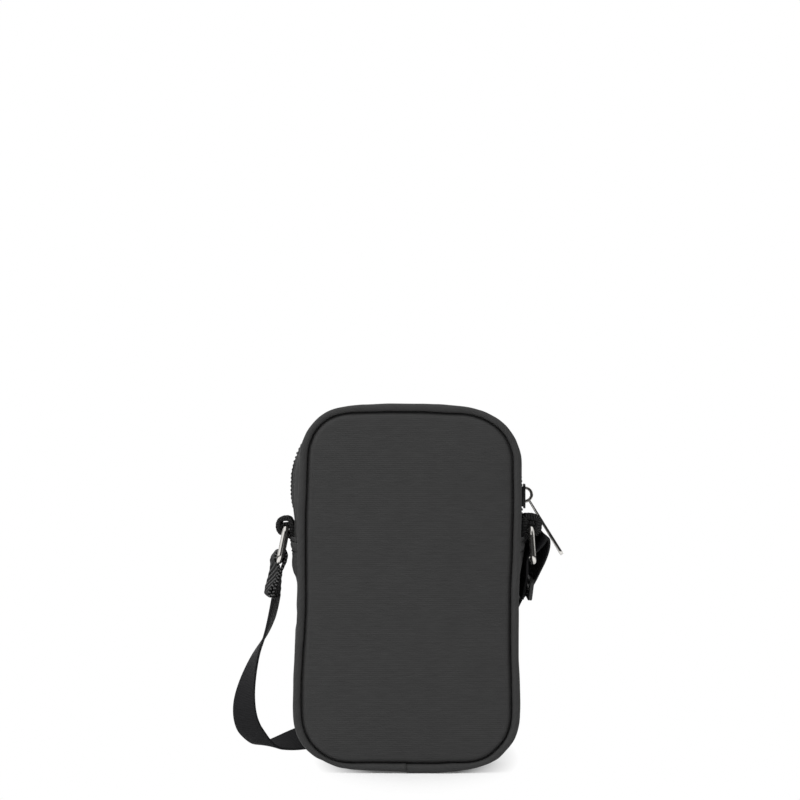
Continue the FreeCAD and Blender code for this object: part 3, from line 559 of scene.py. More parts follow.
# %% Folded length behind the pouch
FOLD_LINES = 9
FOLD_SPACING = 5.6
FOLD_HALF = 45.0
FOLD_START = 57.0
ON_EDGE = WEB_WIDTH / 2
hank_route = [(-46.6, FOLD_START, ON_EDGE)]
for fold in range(FOLD_LINES - 1):
    depth = FOLD_START + fold * FOLD_SPACING
    end_x = FOLD_HALF if fold % 2 == 0 else -FOLD_HALF
    near_x = math.copysign(FOLD_HALF - FOLD_SPACING, end_x)
    hank_route += [(near_x, depth, ON_EDGE), (end_x, depth, ON_EDGE)]
    hank_route += [(end_x, depth + FOLD_SPACING, ON_EDGE), (near_x, depth + FOLD_SPACING, ON_EDGE)]
hank_route += [(34.0, 101.8, ON_EDGE), (50.0, 101.8, ON_EDGE), (50.0, 84.2, ON_EDGE)]
hank, hank_line = lay_webbing(
    "hank_webbing", [(point, (0, 0, -1)) for point in hank_route], webbing, step=1.2, columns=8)
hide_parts("strap_hank")
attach(hank, "pouch")

# %% Free run on the right
RIGHT_EXIT = (57.6, 15.2, 85.8)
RIGHT_WAY = (-0.15, -0.85, -0.50)
right_route = [
    ((50.0, 85.0, 7.5), (0, 0, -1)),
    ((50.0, 74.0, 10.1), (0.00, -0.30, -0.95)),
    ((50.0, 62.0, 22.0), (0.00, -0.55, -0.83)),
    ((50.2, 49.0, 40.0), (-0.10, -0.66, -0.74)),
    ((51.4, 35.6, 59.9), (-0.22, -0.65, -0.72)),
    ((53.8, 24.5, 74.4), (-0.25, -0.72, -0.65)),
    ((55.6, 19.0, 80.6), (-0.22, -0.78, -0.58)),
    (RIGHT_EXIT, RIGHT_WAY),
]
right_run, right_line = lay_webbing("right_run_webbing", right_route, webbing, relief=0.04)
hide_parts("strap_right_run")
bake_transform(right_run)

# %% [markdown]
# ## Sewn loop and slack loop
# On the left the strap passes through the ring, folds back on itself and is sewn down, so the loop is two
# layers thick and hangs a little turned. On the right it runs over the ring and down to an adjuster, and its
# stiffness holds the loop open above the bar.

# %% Loops of the strap
left_loop_side = [  # x, z and turn of the web, from the sewn tail over the bar to the free run
    (-67.0, 89.4, 12), (-67.8, 86.4, 10), (-69.1, 84.7, 10), (-70.1, 85.9, 10), (-69.2, 88.8, 13),
    (-67.4, 92.5, 19), (-66.3, 96.5, 20), (-65.9, 98.8, 20), (-66.1, 100.5, 18), (-66.9, 102.3, 12),
    (-66.4, 104.6, 8), (-65.2, 106.7, 4), (-63.2, 107.1, 2), (-60.9, 107.4, 4), (-60.35, 104.7, 5),
    (-61.1, 102.3, 5), (-61.8, 100.2, 4), (-63.1, 97.2, 1), (-63.9, 93.6, -2), (-64.6, 90.2, -6),
    (-65.2, 87.2, -10), (-65.55, 84.1, -10.4)]
LOOP_TAIL = 24.0  # how far along the loop the weave turns back
loop_route = [((x, 0.0, z), (math.sin(math.radians(turn)), -math.cos(math.radians(turn)), 0.0))
              for x, z, turn in left_loop_side]
left_loop = lay_webbing(
    "left_loop_webbing", loop_route, loop_webbing, relief=0.3, fold=LOOP_TAIL, **LOOP_STRANDS)[0]
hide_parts("strap_left_loop")
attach(left_loop, "left_ring")

right_loop_path = [  # from the adjuster up beside the gusset, over the ring's bar and down to the free run
    ((55.4, 13.6, 85.6), (0.22, -0.85, -0.48)), ((56.3, 10.6, 92.2), (0.26, -0.84, -0.46)),
    ((56.9, 8.2, 97.0), (0.28, -0.84, -0.46)), ((57.5, 5.6, 102.0), (0.18, -0.86, -0.48)),
    ((58.2, 3.0, 106.2), (0.06, -0.87, -0.49)), ((59.6, 0.6, 109.4), (0.0, -0.87, -0.49)),
    ((62.0, -0.4, 109.6), (0.02, -0.88, -0.46)), ((65.2, -0.4, 112.6), (0.12, -0.92, -0.36)),
    ((67.4, 0.6, 116.0), (0.24, -0.95, -0.20)), ((67.0, 2.6, 111.4), (0.40, -0.88, -0.25)),
    ((64.6, 5.2, 105.2), (0.50, -0.80, -0.33)), ((62.3, 8.0, 99.4), (0.42, -0.82, -0.39)),
    ((60.6, 10.4, 94.2), (0.30, -0.84, -0.45)), ((59.2, 12.8, 89.8), (0.08, -0.86, -0.50)),
    (RIGHT_EXIT, RIGHT_WAY)]
right_loop = lay_webbing("right_loop_webbing", right_loop_path, webbing, relief=0.06)[0]
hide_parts("strap_right_loop")
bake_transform(right_loop)

# %% [markdown]
# ## The soft outline
# Drawn on paper the pouch is a rounded rectangle, but the real one leans and slumps a little: fuller near
# the foot, drawn in at the waist, with one top corner rounder than the other. One function moves every
# cloth piece by the same amount, so panels, piping and gusset still meet.

# %% Outline and slump
HALF_WIDTH, HEIGHT, CORNER = 54.0, 180.0, 27.0
LEAN = [  # height, and how far the pouch leans to the right there
    (0, 0.0), (4, 0.0), (11, -0.9), (45, -1.0), (57, -0.9), (68, -0.5), (80, -0.2), (110, 0.25), (127, 0.5),
    (140, 0.8), (153, 1.0), (162, 0.4), (168, -0.2), (174, -0.8), (180, -0.9)]
SPREAD = [  # height, and the share of the drawn width there
    (0, 1.0), (10, 1.0), (17, 1.015), (33, 1.027), (45, 1.023), (57, 1.013), (68, 1.004), (86, 0.998),
    (110, 1.008), (127, 1.012), (150, 1.003), (160, 0.996), (180, 1.0)]
FOOT = [  # place across, and how far the foot lifts there
    (-56, 0.0), (-46, 0.1), (-38, 0.4), (-29, 1.2), (-16, 1.2), (-5, 1.0), (1, 0.8), (13, 0.75), (22, 1.3),
    (35, 1.2), (46, 0.6), (56, 0.0)]
HEAD = [  # place across, and how far the head drops there
    (-54, 0.0), (-49, 0.5), (-39, 0.4), (-31, 0.6), (-21, 0.3), (-8, 0.0), (8, 0.1), (15, 0.4), (23, 0.8),
    (34, 1.2), (40, 0.9), (45, 0.4), (54, 0.0)]
SLUMP_REACH = 30.0  # the height over which a lift or a drop dies away
HEAD_FROM = 140.0


def slump(points):
    points = np.array(points, float)
    lift = ease(points[:, 0], FOOT) * np.clip(1 - points[:, 2] / SLUMP_REACH, 0, 1) ** 1.5
    lift -= ease(points[:, 0], HEAD) * np.clip((points[:, 2] - HEAD_FROM) / SLUMP_REACH, 0, 1) ** 1.5
    points[:, 0] = ease(points[:, 2], LEAN) + points[:, 0] * ease(points[:, 2], SPREAD)
    points[:, 2] += lift
    return points


STRAIGHT_X, STRAIGHT_Z = HALF_WIDTH - CORNER, HEIGHT - 2 * CORNER
ARC = CORNER * math.pi / 2
ROUND = 4 * STRAIGHT_X + 2 * STRAIGHT_Z + 4 * ARC


def outline(distance):
    """Points and outward directions on the outline, walked from the middle of the foot to the right."""
    d = np.mod(np.asarray(distance, float), ROUND)
    x, z, nx, nz = (np.zeros_like(d) for _ in range(4))
    stops = np.cumsum([0, STRAIGHT_X, ARC, STRAIGHT_Z, ARC, 2 * STRAIGHT_X, ARC, STRAIGHT_Z, ARC, STRAIGHT_X])
    straights = {0: ((0, 0), (1, 0)), 2: ((HALF_WIDTH, CORNER), (0, 1)), 4: ((STRAIGHT_X, HEIGHT), (-1, 0)),
                 6: ((-HALF_WIDTH, HEIGHT - CORNER), (0, -1)), 8: ((-STRAIGHT_X, 0), (1, 0))}
    corners = {1: ((STRAIGHT_X, CORNER), -90), 3: ((STRAIGHT_X, HEIGHT - CORNER), 0),
               5: ((-STRAIGHT_X, HEIGHT - CORNER), 90), 7: ((-STRAIGHT_X, CORNER), 180)}
    for k in range(9):
        here = (d >= stops[k]) & (d <= stops[k + 1])
        t = d[here] - stops[k]
        if k in straights:
            (x0, z0), (wx, wz) = straights[k]
            x[here], z[here] = x0 + wx * t, z0 + wz * t
            nx[here], nz[here] = wz, -wx
        else:
            (x0, z0), angle = corners[k]
            turn = math.radians(angle) + t / CORNER
            nx[here], nz[here] = np.cos(turn), np.sin(turn)
            x[here], z[here] = x0 + CORNER * nx[here], z0 + CORNER * nz[here]
    return np.stack([x, 0 * x, z], axis=1), np.stack([nx, 0 * x, nz], axis=1)


def distance_at(height, right):
    """How far round the outline a straight side reaches a height."""
    up = STRAIGHT_X + ARC + (height - CORNER)
    return up if right else ROUND - up


print("outline is", round(ROUND, 1), "mm round")

# %% [markdown]
# ## Padded panels
# A panel is cloth over a sheet of foam, held all round by its seam. The cloth is laid out flat, its border is
# pinned as the seam pins it, and a cloth simulation blows it out a little, which gives a padded face its low
# crown. The border is then rolled back into the seam, which leaves the dark groove beside the piping.

# %% Panel cloth
SEAM_INSET = 4.15
PANEL_FACE = 19.3
CROWN = 2.4
PANEL_THICK = 2.4
ROLL_DEPTH, ROLL_REACH = 3.6, 0.8  # how deep the border rolls back, and how near the seam it starts
LIP_REACH = 0.2
LIP_GROWTH = (1.9 / 52, 0, 1.9 / 88)  # the share by which the very border grows out under the piping


def crowded(share):
    """From -1 to 1, with the steps closer together towards both ends."""
    return 0.3 * (2 * share - 1) + 0.7 * np.sin(math.pi / 2 * (2 * share - 1))


def panel_plan(across, share):
    """A rounded rectangle from a square grid: the corners are drawn into quarter rounds."""
    half_x, half_z = HALF_WIDTH - SEAM_INSET, HEIGHT / 2 - SEAM_INSET
    x, z = half_x * crowded(across), half_z * crowded(share)
    radius = CORNER - SEAM_INSET
    over_x = (np.abs(x) - (half_x - radius)) / radius
    over_z = (np.abs(z) - (half_z - radius)) / radius
    corner = (over_x > 0) & (over_z > 0)
    c, d = np.where(corner, over_x, 0), np.where(corner, over_z, 0)
    x = np.where(corner, np.sign(x) * (half_x - radius + radius * c * np.sqrt(1 - d * d / 2)), x)
    z = np.where(corner, np.sign(z) * (half_z - radius + radius * d * np.sqrt(1 - c * c / 2)), z)
    return x, z + HEIGHT / 2


front_panel, across, share = cloth_grid("front_panel_cloth", 40, 64)
x, z = panel_plan(across, share)
flat = slump(np.stack([x, np.full_like(x, -PANEL_FACE), z], axis=1))
shape_points(front_panel, flat)
lay(front_panel, x, z)
edit(front_panel, OUTWARD)
if front_panel.data.polygons[0].normal.y > 0:
    edit(front_panel, FLIP)

border = (np.minimum(across, share) < 1e-4) | (np.maximum(across, share) > 1 - 1e-4)
seam = front_panel.vertex_groups.new(name="seam")
seam.add([int(i) for i in np.nonzero(border)[0]], 1.0, "REPLACE")
hold(front_panel)
cloth = front_panel.modifiers.new("blow", "CLOTH").settings
cloth.vertex_group_mass = "seam"
cloth.quality = 5
cloth.mass = 0.2
cloth.tension_stiffness = 20
cloth.compression_stiffness = 20
cloth.bending_stiffness = 2
cloth.use_pressure = True
cloth.uniform_pressure_force = 4
cloth.effector_weights.gravity = 0
for step in range(1, 21):
    scene.frame_set(step)
bpy.ops.object.modifier_apply(modifier="blow")
scene.frame_set(1)
rise = flat[:, 1] - points_of(front_panel)[:, 1]
print("blown cloth rises", round(float(rise.max()), 2), "mm, scaled to", CROWN)
crowned = flat.copy()
crowned[:, 1] -= CROWN * rise / rise.max()
shape_points(front_panel, crowned)
press(front_panel, "SUBSURF", levels=1, render_levels=1)

over = np.abs(laid(front_panel)[:, :2] - (0, HEIGHT / 2)) - (HALF_WIDTH - CORNER, HEIGHT / 2 - CORNER)
past_corner = np.linalg.norm(np.maximum(over, 0), axis=1)
from_seam = CORNER - SEAM_INSET - past_corner - np.minimum(over.max(axis=1), 0)
from_seam = np.maximum(from_seam, 0)
points = points_of(front_panel)
points[:, 1] += ROLL_DEPTH * np.exp(-(from_seam / ROLL_REACH) ** 1.3)
lip = np.clip(1 - from_seam / LIP_REACH, 0, 1)
points += (points - (0, 0, HEIGHT / 2)) * LIP_GROWTH * lip[:, None]
shape_points(front_panel, points)
press(front_panel, "SOLIDIFY", thickness=PANEL_THICK * MM, offset=-1, use_even_offset=False)
smooth(front_panel)
wear(front_panel, shell_cloth)

fresh()
rear_panel = front_panel.copy()
rear_panel.data = front_panel.data.copy()
rear_panel.name = rear_panel.data.name = "rear_panel_cloth"
scene.collection.objects.link(rear_panel)
points = points_of(rear_panel)
points[:, 1] *= -1
shape_points(rear_panel, points)
edit(rear_panel, FLIP)
for panel, side in ((front_panel, "front"), (rear_panel, "rear")):
    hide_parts(side + "_panel", side + "_padding", side + "_lining")
    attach(panel, "pouch")
print("panel box:", *box_of(front_panel))

# %% [markdown]
# ## Piping
# Piping is a bias strip of the shell cloth wrapped round a cord and caught in the seam. It runs all round the
# panel and starts and ends at the foot, where one end is turned under and lapped over the other.

# %% Piping tubes
PIPE = 1.9
PIPE_PLANE = 17.6
JOIN = -1.2
LAP = 7.0
PIPE_STEPS = 430
SAG = [  # place across, and how far the outer side of the roll hangs below the foot's outline
    (-56, 0.0), (-50, -0.1), (-46, -0.6), (-42, -1.4), (-38, -1.4), (-32, -0.9), (-26, -0.3), (-20, 0.0),
    (-5, 0.3), (-1.3, 0.4), (-1.0, 0.75), (14, 0.75), (22, 0.6), (28, -0.3), (32, -0.65), (36, -0.75),
    (41, -0.65), (45, -0.3), (50, 0.0), (56, 0.0)]
DRAWN = [  # place across, and how far the roll is drawn in at the head
    (-54, 0.0), (-51, 0.5), (-45, 0.8), (-32, 0.8), (-22, 0.2), (-10, 0.0), (18, 0.0), (30, 0.5), (42, 0.6),
    (50, 0.2), (54, 0.0)]


def piping(name, side):
    """A roll with shut ends round the outline. At the join its start lies under its end."""
    piece, around, share = cloth_grid(name, 20, PIPE_STEPS)
    ends = 4 / PIPE_STEPS
    walked = JOIN - LAP + np.clip((share - ends) / (1 - 2 * ends), 0, 1) * (ROUND + LAP)
    shut = np.clip(np.minimum(share, 1 - share) / ends, 0, 1)
    here, outward = outline(walked)
    over = np.clip((walked - (JOIN + ROUND - LAP)) / LAP, 0, 1) ** 2
    under = np.clip(1 - (walked - (JOIN - LAP)) / LAP, 0, 1)
    radius = PIPE + 0.16 * over - 0.45 * under
    radius += 0.05 * np.sin(walked / 9.1) + 0.04 * np.sin(walked / 4.3 + 1)
    sag = np.where(here[:, 2] < CORNER, ease(here[:, 0], SAG), 0) / 2
    sag -= np.where(here[:, 2] > HEIGHT - CORNER, ease(here[:, 0], DRAWN), 0) / 2
    radius += sag
    radius *= 1 - (1 - shut) ** 3
    angle = math.pi + around * 2 * math.pi
    centre = here - outward * (PIPE + 0.2 * over - sag)[:, None]
    points = centre + outward * (radius * np.cos(angle))[:, None]
    points[:, 1] = side * (PIPE_PLANE + 0.35 * over - 0.2 * under + radius * np.sin(angle))
    shape_points(piece, slump(points))
    lay(piece, around * 2 * math.pi * PIPE, walked)
    edit(piece, (bpy.ops.mesh.remove_doubles, {"threshold": 1e-5}), OUTWARD)
    smooth(piece)
    wear(piece, piping_cloth)
    return piece


front_piping = piping("front_piping_roll", -1)
rear_piping = piping("rear_piping_roll", 1)
for roll, side in ((front_piping, "front"), (rear_piping, "rear")):
    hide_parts(side + "_piping_cover", side + "_piping_cord")
    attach(roll, "pouch")
    print(roll.name, "box:", *box_of(roll))

# %% [markdown]
# ## Gusset
# The gusset is the wall between the two panels. The lower part is one strip round the foot and sides; the
# upper part is two narrow strips with the zip between them. Cloth held at two seams swells between them,
# unevenly, so the swell at each height is written down as it is seen on the pouch. On the left the rear
# strip stands out further than the front one and closes the gaps between the teeth.

# %% Gusset surface
# In each table: height, and how far the middle of the gusset stands out from the drawn outline there.
LEFT_LOW = [
    (0, 0.3), (20, 0.1), (45, 0.2), (57, 0.6), (68, 1.1), (74, 0.4), (81, 1.1), (91, 0.9), (94, 1.4),
    (97, 2.8), (100, 3.4), (103, 3.35), (105, 3.0), (107.4, 2.9), (111, 3.6), (116, 3.5)]
RIGHT_LOW = [
    (0, 0.7), (6, 0.4), (20, 0.0), (45, 0.5), (57, 0.5), (67, 0.2), (74, -0.4), (82, -0.2), (94, 0.8),
    (103, 1.9), (110, 2.3), (116, 2.2)]
LEFT_HIGH = [
    (112, 2.3), (119, 1.9), (123, 1.9), (127, 2.4), (131, 3.0), (135, 3.4), (139, 3.6), (145, 3.6),
    (150, 2.9), (155, 1.8), (158, 0.9), (161, -0.4), (166, -1.3), (174, -1.6), (181, -1.8)]
LEFT_REAR = [
    (112, 2.3), (119, 1.9), (123, 2.0), (127, 3.0), (131, 4.1), (135, 4.7), (139, 4.9), (145, 5.0),
    (150, 4.1), (155, 2.2), (158, 0.9), (161, -0.4), (166, -1.3), (174, -1.6), (181, -1.8)]
RIGHT_HIGH = [
    (112, 0.6), (120, 0.5), (127, 0.3), (133, 0.4), (140, 0.1), (146, -0.2), (153, -0.3), (158, -1.0),
    (163, -1.5), (174, -1.6), (181, -1.8)]
GUSSET_EDGE = 15.9
TUCK = 1.3
GUSSET_THICK = 0.9


def wall(piece):
    """Turn an open cloth face outwards and give it its thickness on the inner side."""
    edit(piece, OUTWARD)
    middle = Vector((0, 0, HEIGHT / 2 * MM))
    facing = sum((Vector(face.center) - middle).dot(face.normal) for face in piece.data.polygons)
    if facing < 0:
        edit(piece, FLIP)
    press(piece, "SOLIDIFY", thickness=GUSSET_THICK * MM, offset=-1, use_even_offset=True)
    press(piece, "SUBSURF", levels=1, render_levels=1)
    smooth(piece)


def gusset_point(walked, y, left, right, lift=0.0):
    """A place on the swelled gusset, walked mm round the outline and y mm from its middle."""
    here, outward = outline(walked)
    swell = np.where(here[:, 0] < 0, ease(here[:, 2], left), ease(here[:, 2], right))
    arch = 1 - (np.abs(y) / GUSSET_EDGE) ** 2.6
    away = -TUCK + (swell + TUCK) * arch + lift
    points = here + outward * away[:, None]
    points[:, 1] = y
    return slump(points)


TOP_HEM = 114.6
BAND_FOOT, BAND_LIFT = 104.5, 0.55  # below its hem the gusset is doubled, down to this height
STITCH_ROWS = (112.3, 107.4)
STITCH_HALF = 14.6
low_start, low_end = distance_at(TOP_HEM, False) - ROUND, distance_at(TOP_HEM, True)
lower_gusset, across, share = cloth_grid("lower_gusset_cloth", 26, 330)
y = (across * 2 - 1) * GUSSET_EDGE
walked = low_start + share * (low_end - low_start)
here, outward = outline(walked)
lift = BAND_LIFT * np.clip((here[:, 2] - BAND_FOOT) / 2.0, 0, 1)
for row in STITCH_ROWS:
    lift -= 0.7 * np.exp(-((here[:, 2] - row) / 0.7) ** 2) * (np.abs(y) < STITCH_HALF)
lift += 0.12 * np.sin(walked / 6.3 + y / 7) * np.sin(y / 5 + 1) * np.clip((here[:, 2] - 8) / 10, 0, 1)
shape_points(lower_gusset, gusset_point(walked, y, LEFT_LOW, RIGHT_LOW, lift))
lay(lower_gusset, y, walked)
wall(lower_gusset)
wear(lower_gusset, gusset_cloth)
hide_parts("lower_gusset", "gusset_lining")
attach(lower_gusset, "pouch")

STRIP_FOOT = 113.4
STRIP_EDGE = 4.8  # where a zip strip ends beside the teeth
ZIP_STITCH = 8.0  # where its stitches run
high_start, high_end = distance_at(STRIP_FOOT, True), distance_at(STRIP_FOOT, False)


def upper_strip(name, side, node, left):
    piece, across, share = cloth_grid(name, 12, 200)
    y = side * (STRIP_EDGE + across * (GUSSET_EDGE - STRIP_EDGE))
    walked = high_start + share * (high_end - high_start)
    fold = 0.35 * np.exp(-((np.abs(y) - 6.2) / 1.2) ** 2)
    fold -= 0.5 * np.exp(-((np.abs(y) - ZIP_STITCH) / 0.5) ** 2)
    shape_points(piece, gusset_point(walked, y, left, RIGHT_HIGH, fold))
    lay(piece, y, walked)
    wall(piece)
    wear(piece, gusset_cloth)
    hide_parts(node)
    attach(piece, "pouch")
    return piece


front_strip = upper_strip("front_zip_strip", -1, "upper_gusset_front", LEFT_HIGH)
rear_strip = upper_strip("rear_zip_strip", 1, "upper_gusset_rear", LEFT_REAR)
print("gusset pieces:", lower_gusset.name, front_strip.name, rear_strip.name)

# %% [markdown]
# ## Stitches
# Two rows of stitches hold each tab behind the gusset, and one row runs along each zip strip. A stitch is a
# short rounded length of thread. It is modelled once and copied along its rows, sunk a little in the cloth.

# %% Stitches
def template(piece):
    """Keep the points and faces of a small shape, and put the shape itself away."""
    points = raw_points(piece)
    faces = [tuple(face.vertices) for face in piece.data.polygons]
    bpy.data.objects.remove(piece)
    return points, faces


def copies(name, shape, places, alongs, way_across):
    """Copies of a small shape, its height laid along each place's own direction."""
    points, faces = shape
    corners, sides = [], []
    for k, (place, along) in enumerate(zip(places, alongs)):
        along = np.array(along, float) / np.linalg.norm(along)
        across = np.array(way_across, float) - along * np.dot(way_across, along)
        across /= np.linalg.norm(across)
        level = place + points[:, :1] * across + points[:, 1:2] * np.cross(along, across)
        corners.append(level + points[:, 2:] * along)
        sides += [tuple(i + k * len(points) for i in face) for face in faces]
    mesh = bpy.data.meshes.new(name)
    mesh.from_pydata((np.concatenate(corners) * MM).tolist(), [], sides)
    piece = bpy.data.objects.new(name, mesh)
    scene.collection.objects.link(piece)
    edit(piece, OUTWARD)
    smooth(piece, 40)
    return piece


stitch = add_shape(bpy.ops.mesh.primitive_cylinder_add, "stitch", vertices=8, radius=0.32, depth=2.0)
edit(stitch, (bpy.ops.mesh.bevel, {"offset": 0.16, "segments": 2, "affect": "EDGES"}))
stitch_shape = template(stitch)


def stitch_line(name, walked, y, left, right, lift, ways=None):
    places = gusset_point(walked, y, left, right, lift)
    if ways is None:
        ways = gusset_point(walked + 0.5, y, left, right, lift) - places
    row = copies(name, stitch_shape, places, ways, (0, 0.3, 1))
    wear(row, thread)
    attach(row, "pouch")
    print(name + ":", len(places))


across_row = np.arange(-13.7, 13.8, 2.74)
y = np.tile(across_row, len(STITCH_ROWS))
for side, right in (("left", False), ("right", True)):
    rows = [distance_at(row, right) - (0 if right else ROUND) for row in STITCH_ROWS]
    walked = np.repeat(rows, len(across_row))
    stitch_line(side + "_tab_stitches", walked, y, LEFT_LOW, RIGHT_LOW, 0.4, [(0, 1, 0)] * len(y))
along_zip = np.arange(high_start + 2, high_end - 2, 2.8)
for label, side, left in (("front", -1, LEFT_HIGH), ("rear", 1, LEFT_REAR)):
    y = np.full(len(along_zip), side * ZIP_STITCH)
    stitch_line(label + "_zip_stitches", along_zip, y, left, RIGHT_HIGH, -0.32)

# %% [markdown]
# ## Zip
# A zip is two woven tapes with a row of teeth on each. One tooth is modelled as a small rounded block and
# copied along both tapes, half a pitch apart so the rows mesh. Below the slider the rows lie a little open.

# %% Zip tapes and teeth
PITCH = 2.0
TOOTH = (2.7, 1.9, 1.15)
TEETH_FOOT = 125.6
OPEN_BELOW, OPEN_BY = 128.0, 0.9  # from this height down the rows lie apart
TAPE_INNER, TAPE_SPAN, TAPE_THICK = 0.9, 8.6, 0.5


def zip_tape(name, side, node):
    piece, across, share = cloth_grid(name, 6, 180)
    y = side * (TAPE_INNER + across * TAPE_SPAN)
    walked = high_start + share * (high_end - high_start)
    shape_points(piece, gusset_point(walked, y, LEFT_HIGH, RIGHT_HIGH, -1.0))
    lay(piece, across * TAPE_WIDTH, walked)
    press(piece, "SOLIDIFY", thickness=TAPE_THICK * MM, offset=0, use_even_offset=True)
    edit(piece, OUTWARD)
    smooth(piece, 40)
    wear(piece, zip_tape_cloth)
    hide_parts(node)
    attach(piece, "pouch")


tooth = add_shape(bpy.ops.mesh.primitive_cube_add, "tooth", size=1)
edit(tooth, (bpy.ops.transform.resize, {"value": TOOTH}),
     (bpy.ops.mesh.bevel, {"offset": 0.32, "segments": 2, "affect": "EDGES"}))
tooth_shape = template(tooth)


def tooth_row(name, side, node):
    """Copies of the tooth along one tape, each turned to stand on the gusset."""
    first, last = distance_at(TEETH_FOOT, True), distance_at(TEETH_FOOT, False)
    walked = np.arange(first + (0 if side < 0 else PITCH / 2), last, PITCH)
    y = side * (1.0 + np.clip((distance_at(OPEN_BELOW, True) - walked) / 12.0, 0, 1) * OPEN_BY)
    # The teeth sink behind the cloth at the left end, and again where the zip turns into the top.
    sunk = (0.15 if side < 0 else -0.3) - 0.9 * np.exp(-((last - walked) / 6) ** 2)
    sunk -= 0.6 * np.exp(-((last - walked - 33) / 6) ** 2)
    middle = gusset_point(walked, y, LEFT_HIGH, RIGHT_HIGH, sunk)
    ahead = gusset_point(walked + 0.5, y, LEFT_HIGH, RIGHT_HIGH, sunk)
    row = copies(name, tooth_shape, middle, ahead - middle, (0, 1, 0))
    wear(row, tooth_plastic)
    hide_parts(node)
    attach(row, "pouch")
    print(name, "has", len(walked), "teeth")


for side, label in ((-1, "front"), (1, "rear")):
    zip_tape(label + "_tape_cloth", side, "zip_tape_" + label)
    tooth_row(label + "_tooth_row", side, "zip_chain_" + label)

# %% [markdown]
# ## Slider, pull, rings and adjuster
# The hard parts start from the shape they were built with. Cast and stamped metal never has knife edges, so
# the slider, the pull and the adjuster are copied, their corners are rounded, and each gets its finish; the
# rings keep their mesh and are given nickel.


# %% Rounded copies of the hard parts
def rounded_copy(name, node, body, width, finish, segments=3):
    fresh()
    piece = nodes[node].copy()
    piece.data = nodes[node].data.copy()
    for key in list(piece.keys()):
        del piece[key]
    piece.parent = None
    piece.name = piece.data.name = name
    scene.collection.objects.link(piece)
    edit(piece, (bpy.ops.mesh.customdata_custom_splitnormals_clear, {}),
         (bpy.ops.mesh.remove_doubles, {"threshold": 1e-6}),
         (bpy.ops.mesh.dissolve_limited, {"angle_limit": math.radians(3)}))
    press(piece, "BEVEL", width=width * MM, segments=segments, limit_method="ANGLE",
          angle_limit=math.radians(40), use_clamp_overlap=True)
    edit(piece, OUTWARD)
    smooth(piece, 35)
    wear(piece, finish)
    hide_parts(node)
    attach(piece, body)
    return piece


SLIDER_FACE = 54.5  # what stands out past this is pressed flatter by a quarter
slider = rounded_copy("slider_casting", "slider_body", "slider", 0.4, enamel)
points = points_of(slider)
points[:, 0] -= 0.25 * np.maximum(points[:, 0] - SLIDER_FACE, 0)
shape_points(slider, points)

ADJUSTER_CENTRE = Vector((60.06, 12.0, 89.32))
adjuster_turn = Matrix.Rotation(math.radians(8), 3, "Z") @ Matrix.Rotation(math.radians(-18), 3, "X")
pull = rounded_copy("pull_blade", "zip_pull", "pull", 0.12, nickel, 2)
adjuster = rounded_copy(
    "adjuster_frame", "strap_adjuster", "adjuster", 0.5, moulded_black)
shape_points(adjuster, [tuple(ADJUSTER_CENTRE + adjuster_turn @ (Vector(point) - ADJUSTER_CENTRE))
                        for point in points_of(adjuster)])
for name in ("left_ring", "right_ring"):
    wear(nodes[name], nickel)

PULL_PIVOT = np.array((59.65, 0.0, 132.25))
PULL_TURN = math.radians(31.28)
PULL_SWELL, SWELL_FROM = 0.35, 17.0  # the blade is thicker towards its tip
pull_down = np.array((math.sin(PULL_TURN), 0.0, -math.cos(PULL_TURN)))
pull_face = np.array((math.cos(PULL_TURN), 0.0, math.sin(PULL_TURN)))
points = points_of(pull)
reach, height = (points - PULL_PIVOT) @ pull_down, (points - PULL_PIVOT) @ pull_face
swelled = PULL_SWELL * np.clip((reach - SWELL_FROM) / 5.0, 0, 1) * np.sign(height)
shape_points(pull, points + swelled[:, None] * pull_face)
print("pull reaches", round(float(reach.max()), 1), "mm below its bail")

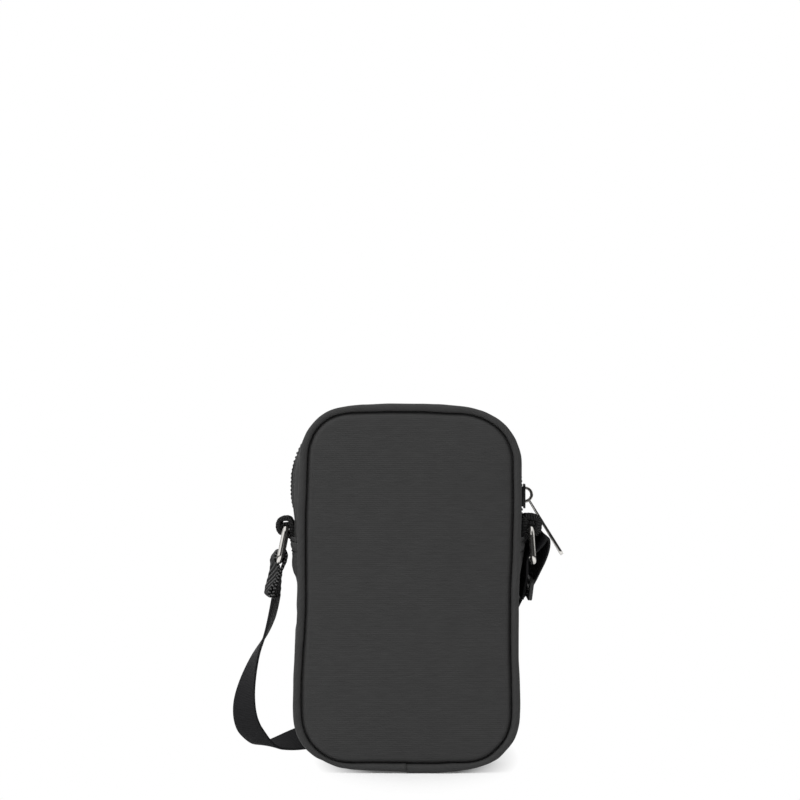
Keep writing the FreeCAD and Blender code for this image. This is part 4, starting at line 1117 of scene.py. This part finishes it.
# %% Bail of the slider
BAIL_CENTRE, BAIL_RADIUS = (57.7, 0.0, 134.9), 3.3
bail = add_shape(bpy.ops.mesh.primitive_plane_add, "slider_bridge", size=1)
edit(bail, (bpy.ops.transform.resize, {"value": (1.4 * MM, 2.0 * MM, 1)}))
section = points_of(bail)
foot = BAIL_CENTRE[2] - BAIL_RADIUS + section[:, 0]
shape_points(bail, np.stack([np.full(4, BAIL_CENTRE[0]), section[:, 1], foot], axis=1))
edit(bail, (bpy.ops.mesh.spin, {"steps": 22, "angle": math.pi, "center": [c * MM for c in BAIL_CENTRE],
                                "axis": (0, 1, 0)}),
     (bpy.ops.mesh.select_all, {"action": "SELECT"}),
     (bpy.ops.mesh.remove_doubles, {"threshold": 1e-6}), OUTWARD)
press(bail, "BEVEL", width=0.3 * MM, segments=3, limit_method="ANGLE", angle_limit=math.radians(40))
smooth(bail, 35)
wear(bail, nickel)
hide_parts("slider_bail")
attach(bail, "slider")
print("bail box:", *box_of(bail))

# %% [markdown]
# ## Tabs
# A tab is a short piece of webbing folded over the bar of a ring, with both ends sewn in behind the gusset.
# An inner layer lies close on the bar, and the outer one goes round it.

# %% Tabs
INNER_WIDTH = 11.5


def tab(name, side, node, thickness, top, shoulder, inner, snug):
    """A webbing tab that stands out of the gusset and carries a ring. An inner layer hugs the ring's bar."""
    profile = [(54.2, 104.5), (55.0, 110.5), (55.9, 113.8), (57.2, 116.2), *shoulder, (61.0, top),
               (63.2, top - 0.5), (63.9, top - 2.8), (63.7, 118.0), (62.6, 116.2), (60.6, 115.6),
               (58.4, 114.8), (56.4, 113.0)]
    turned = [0, 0, 0, 0, 0, 0, 0, 0, 0.04, 0.08, 0.08, 0.06, 0.02, 0, 0]
    route = [((side * x, 0.0, z), (side * way, -1, 0)) for (x, z), way in zip(profile, turned)]
    piece = lay_webbing(name, route, tab_webbing, TAB_WIDTH, thickness, columns=30, relief=0.3)[0]
    lining = [(57.6, 116.6), (57.4, 119.2), (58.2, snug - 0.3), (60.3, snug), (62.4, snug - 0.3),
              (63.0, 119.2), (62.8, 116.8)]
    route = [((side * x, 0.0, z), (0, -1, 0)) for x, z in lining]
    layer = lay_webbing(name + "_inner", route, tab_webbing, INNER_WIDTH, inner, columns=24, relief=0.2)[0]
    hold(piece)
    layer.select_set(True)
    bpy.ops.object.join()
    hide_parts(node)
    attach(piece, "pouch")


tab("left_tab_webbing", -1, "left_tab", 2.3, 123.3, [(57.5, 119.2), (57.7, 121.5), (58.8, 123.2)],
    inner=1.3, snug=120.5)
tab("right_tab_webbing", 1, "right_tab", 3.1, 124.1, [(57.3, 121.5), (57.4, 124.0), (58.6, 124.1)],
    inner=2.5, snug=121.3)
